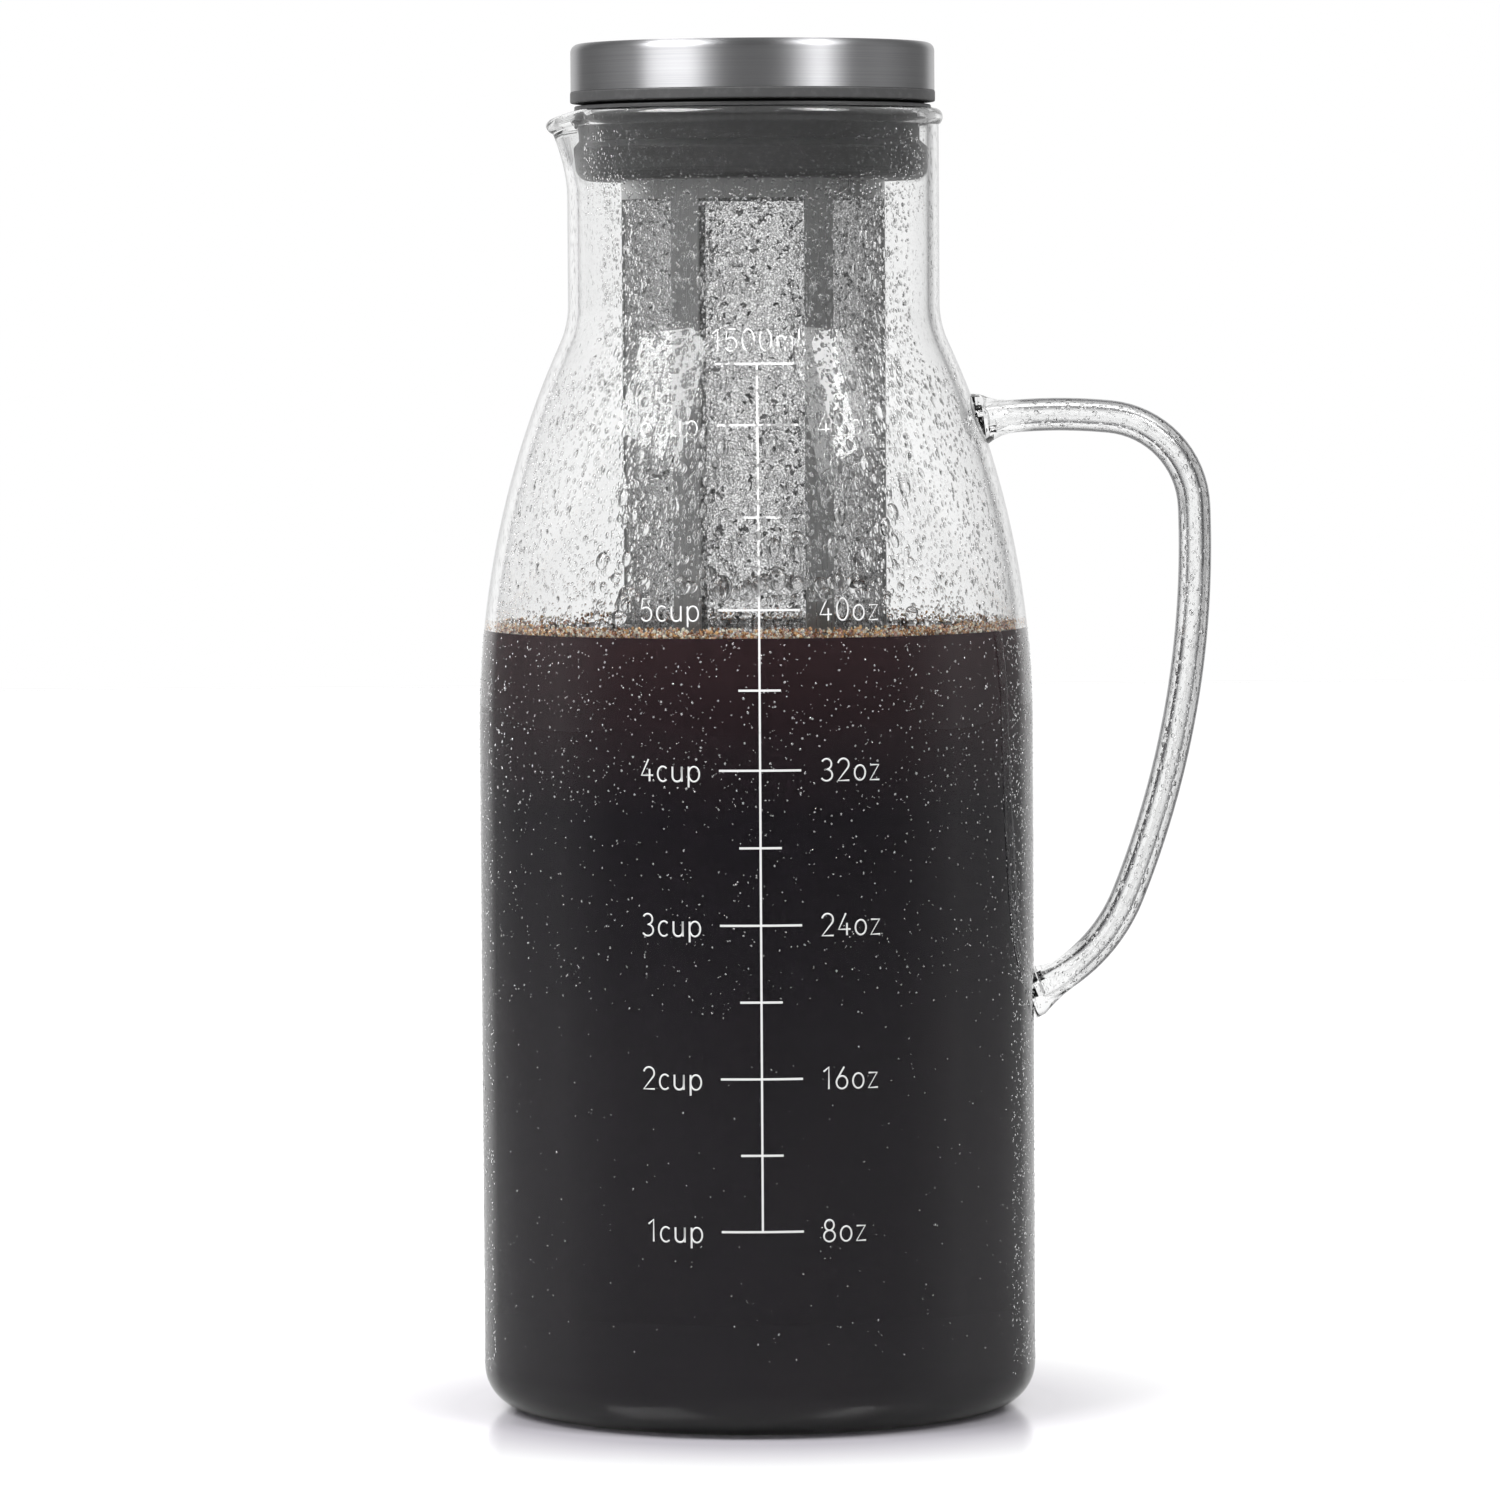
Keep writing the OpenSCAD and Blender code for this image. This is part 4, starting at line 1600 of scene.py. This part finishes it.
@dataclass
class Studio:
    """White floor and background, two soft boxes and the camera of the photograph.

    The boxes' height and distance and the floor's size are in metres. mirrored, through,
    aside, upward and overhead give the room's grey by direction, along one axis each.
    """

    lens_px: float = 7870.0
    frame_px: float = 1500.0
    distance: float = 1514.0
    height: float = 208.9
    pitch: float = 3.12
    turn: float = 0.7
    axis_px: float = 756.5
    roll: float = 0.35
    sensor: float = 36.0
    far_clip: float = 30.0
    boxes: tuple[SoftBox, ...] = (
        SoftBox("soft_box_left", -59.0, 0.72, 15.0),
        SoftBox("soft_box_right", 47.5, 0.60, 6.0),
        SoftBox("soft_box_right_core", 48.0, 0.24, 12.0),
    )
    box_rise: float = 45.0
    box_height: float = 0.62
    box_distance: float = 1.15
    box_aim: float = 0.17
    floor_size: float = 6.0
    floor_z: float = -0.0002
    mirrored: tuple[Point, ...] = (
        (-1.0, 0.1), (-0.5, 0.2), (0.0, 0.6), (0.5, 0.3), (0.78, 0.28), (0.88, 1.0)
    )
    shaded_near_floor: Colour = (0.455, 0.44, 0.475)
    far_floor: Colour = grey(0.95)
    lit_floor: Colour = grey(0.3)
    floor_behind: Colour = grey(0.5)
    floor_shade_fade: Point = (58.0, 105.0)
    through: tuple[Point, ...] = (
        (-1.0, 0.2), (-0.3, 0.24), (0.1, 0.26), (0.3, 0.34), (0.52, 1.0)
    )
    overhead: tuple[Point, ...] = ((0.45, 0.0), (0.7, 0.9), (1.0, 1.2))
    aside: tuple[Point, ...] = ((0.25, 1.0), (0.6, 0.42), (1.0, 0.3))
    upward: tuple[Point, ...] = ((0.2, 1.0), (0.5, 0.6), (1.0, 0.6))

    def camera(self) -> None:
        """Place the camera where the photograph was taken from."""
        data = bpy.data.cameras.new("camera")
        data.sensor_width = self.sensor
        data.lens = self.sensor * self.lens_px / self.frame_px
        data.clip_end = self.far_clip
        camera = link("camera", data)
        turn = math.radians(self.turn)
        away = self.distance * MM
        camera.location = (-away * math.sin(turn), -away * math.cos(turn), self.height * MM)
        aside = math.atan((self.axis_px - self.frame_px / 2) / self.lens_px)
        look = Matrix.Rotation(-turn + aside, 4, "Z")
        look = look @ Matrix.Rotation(math.radians(90 - self.pitch), 4, "X")
        look = look @ Matrix.Rotation(-math.radians(self.roll), 4, "Z")
        camera.rotation_euler = look.to_euler()
        bpy.context.scene.camera = camera

    def soft_box(self, box: SoftBox) -> None:
        """Hang one soft box in front of the object."""
        data = bpy.data.lights.new(box.name, "AREA")
        data.shape = "RECTANGLE"
        data.size, data.size_y = box.width, self.box_height
        data.energy = box.radiance * math.pi * data.size * data.size_y
        lamp = link(box.name, data)
        turn, rise = math.radians(box.turn), math.radians(self.box_rise)
        level = math.cos(rise)
        away = Vector((math.sin(turn) * level, -math.cos(turn) * level, math.sin(rise)))
        lamp.location = Vector((0, 0, self.box_aim)) + self.box_distance * away
        lamp.rotation_euler = away.to_track_quat("Z", "Y").to_euler()
        lamp.visible_camera = False
        lamp.visible_transmission = False

    def environment(
        self, tree: bpy.types.NodeTree, stops: tuple[Point, ...], axis: str = "Y"
    ) -> bpy.types.NodeSocket:
        """Add a grey that depends on how far a direction points along one axis.

        Args:
            tree: The world's nodes.
            stops: That part of the direction, from -1 to 1, each with its grey.
            axis: The axis, X to point right, Y away from the camera and Z up.

        Returns:
            The output that gives the grey.
        """
        place = tree.nodes.new("ShaderNodeTexCoord")
        axes = tree.nodes.new("ShaderNodeSeparateXYZ")
        spread = tree.nodes.new("ShaderNodeMapRange")
        spread.inputs["From Min"].default_value = -1.0
        ramp = tree.nodes.new("ShaderNodeValToRGB")
        set_stops(ramp, [((depth + 1) / 2, grey(level)) for depth, level in stops])
        tree.links.new(place.outputs["Generated"], axes.inputs["Vector"])
        tree.links.new(axes.outputs[axis], spread.inputs["Value"])
        tree.links.new(spread.outputs["Result"], ramp.inputs["Fac"])
        return ramp.outputs["Color"]

    def world(self) -> None:
        """Make a white backdrop, with a dimmer studio in reflections and behind glass."""
        world = bpy.data.worlds.new("white_room")
        bpy.context.scene.world = world
        world.use_nodes = True
        tree = world.node_tree
        background = tree.nodes["Background"]
        rays = tree.nodes.new("ShaderNodeLightPath")
        behind_glass = self.environment(tree, self.through)
        for operation, stops, axis in (
            ("MULTIPLY", self.aside, "X"),
            ("MULTIPLY", self.upward, "Z"),
            ("ADD", self.overhead, "Z"),
        ):
            step = tree.nodes.new("ShaderNodeVectorMath")
            step.operation = operation
            tree.links.new(behind_glass, step.inputs[0])
            tree.links.new(self.environment(tree, stops, axis), step.inputs[1])
            behind_glass = step.outputs["Vector"]
        rooms = {
            "Is Glossy Ray": self.environment(tree, self.mirrored),
            "Is Transmission Ray": behind_glass,
        }
        colour = None
        for ray, room in rooms.items():
            mix = tree.nodes.new("ShaderNodeMix")
            mix.data_type = "RGBA"
            mix.inputs["A"].default_value = (1, 1, 1, 1)
            if colour is not None:
                tree.links.new(colour, mix.inputs["A"])
            tree.links.new(rays.outputs[ray], mix.inputs["Factor"])
            tree.links.new(room, mix.inputs["B"])
            colour = mix.outputs["Result"]
        tree.links.new(colour, background.inputs["Color"])

    def floor(self) -> None:
        """Lay the pale floor, which keeps the object's shadow.

        The camera sees it darken towards the object, as the photograph does, and other
        rays meet a plain grey.
        """
        clear_selection()
        bpy.ops.mesh.primitive_plane_add(size=self.floor_size, location=(0, 0, self.floor_z))
        plane = bpy.context.object
        plane.name = plane.data.name = "floor"
        shader = Shader("white_floor")
        away = shader.add("ShaderNodeVectorMath", operation="LENGTH")
        shader.join(shader.coordinates(), away, 0)
        share = shader.between((away, "Value"), in_metres(self.floor_shade_fade))
        rays = shader.add("ShaderNodeLightPath")
        stops = [(0.0, self.lit_floor), (1.0, self.floor_behind)]
        shade = shader.add("ShaderNodeMix", data_type="RGBA")
        shader.join((rays, "Is Camera Ray"), shade, "Factor")
        shader.join(shader.ramp((rays, "Is Transmission Ray"), stops), shade, "A")
        # Painted shade: the camera sees the floor darker and a little lilac near the object, fading
        # to white further out.
        stops = [(0.0, self.shaded_near_floor), (1.0, self.far_floor)]
        shader.join(shader.ramp(share, stops), shade, "B")
        shader.set(Roughness=0.12, Specular_IOR_Level=0.5, Base_Color=(shade, "Result"))
        plane.data.materials.append(shader.material)

    def build(self) -> None:
        """Build the whole studio."""
        scene = bpy.context.scene
        scene.view_settings.view_transform = "Standard"
        self.camera()
        for box in self.boxes:
            self.soft_box(box)
        self.world()
        self.floor()


# ------------------------------------------------------------------ assembly


def dress_nodes(enamel: bpy.types.Material) -> None:
    """Give the CAD nodes that stay visible their finishes.

    Args:
        enamel: The finish that the scale shares with its figures.
    """
    silicone = SiliconeFinish().material()
    filter_steel = SteelFinish("filter_steel", grey(0.5), Brushing.UPRIGHT, 0.3).material()
    cap_steel = SteelFinish("cap_steel", (0.37, 0.37, 0.38), Brushing.ROUND, 0.4).material()
    plastic = PlasticFinish().material()
    finishes = {
        "graduation_scale": enamel,
        "neck_stopper": silicone,
        "lid_gasket": silicone,
        "plug_seals": silicone,
        "filter_collar": filter_steel,
        "filter_frame": filter_steel,
        "filter_base": filter_steel,
        "filter_mesh": MeshFinish().material(),
        "lid_cap": cap_steel,
        "lid_core": plastic,
        "lid_plug": plastic,
    }
    for name, material in finishes.items():
        dress(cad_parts[name], material)


def main() -> None:
    """Build the studio and every sub-assembly."""
    logging.basicConfig(level=logging.INFO, format="%(message)s")
    Studio().build()
    jug = GlassJug()
    jug.build()
    coffee = Coffee(jug)
    coffee.build()
    Foam(coffee).build()
    Condensation(jug).build()
    enamel = EnamelFinish().material()
    PrintedFigures(jug, enamel).build()
    dress_nodes(enamel)


if __name__ == "__main__":
    main()
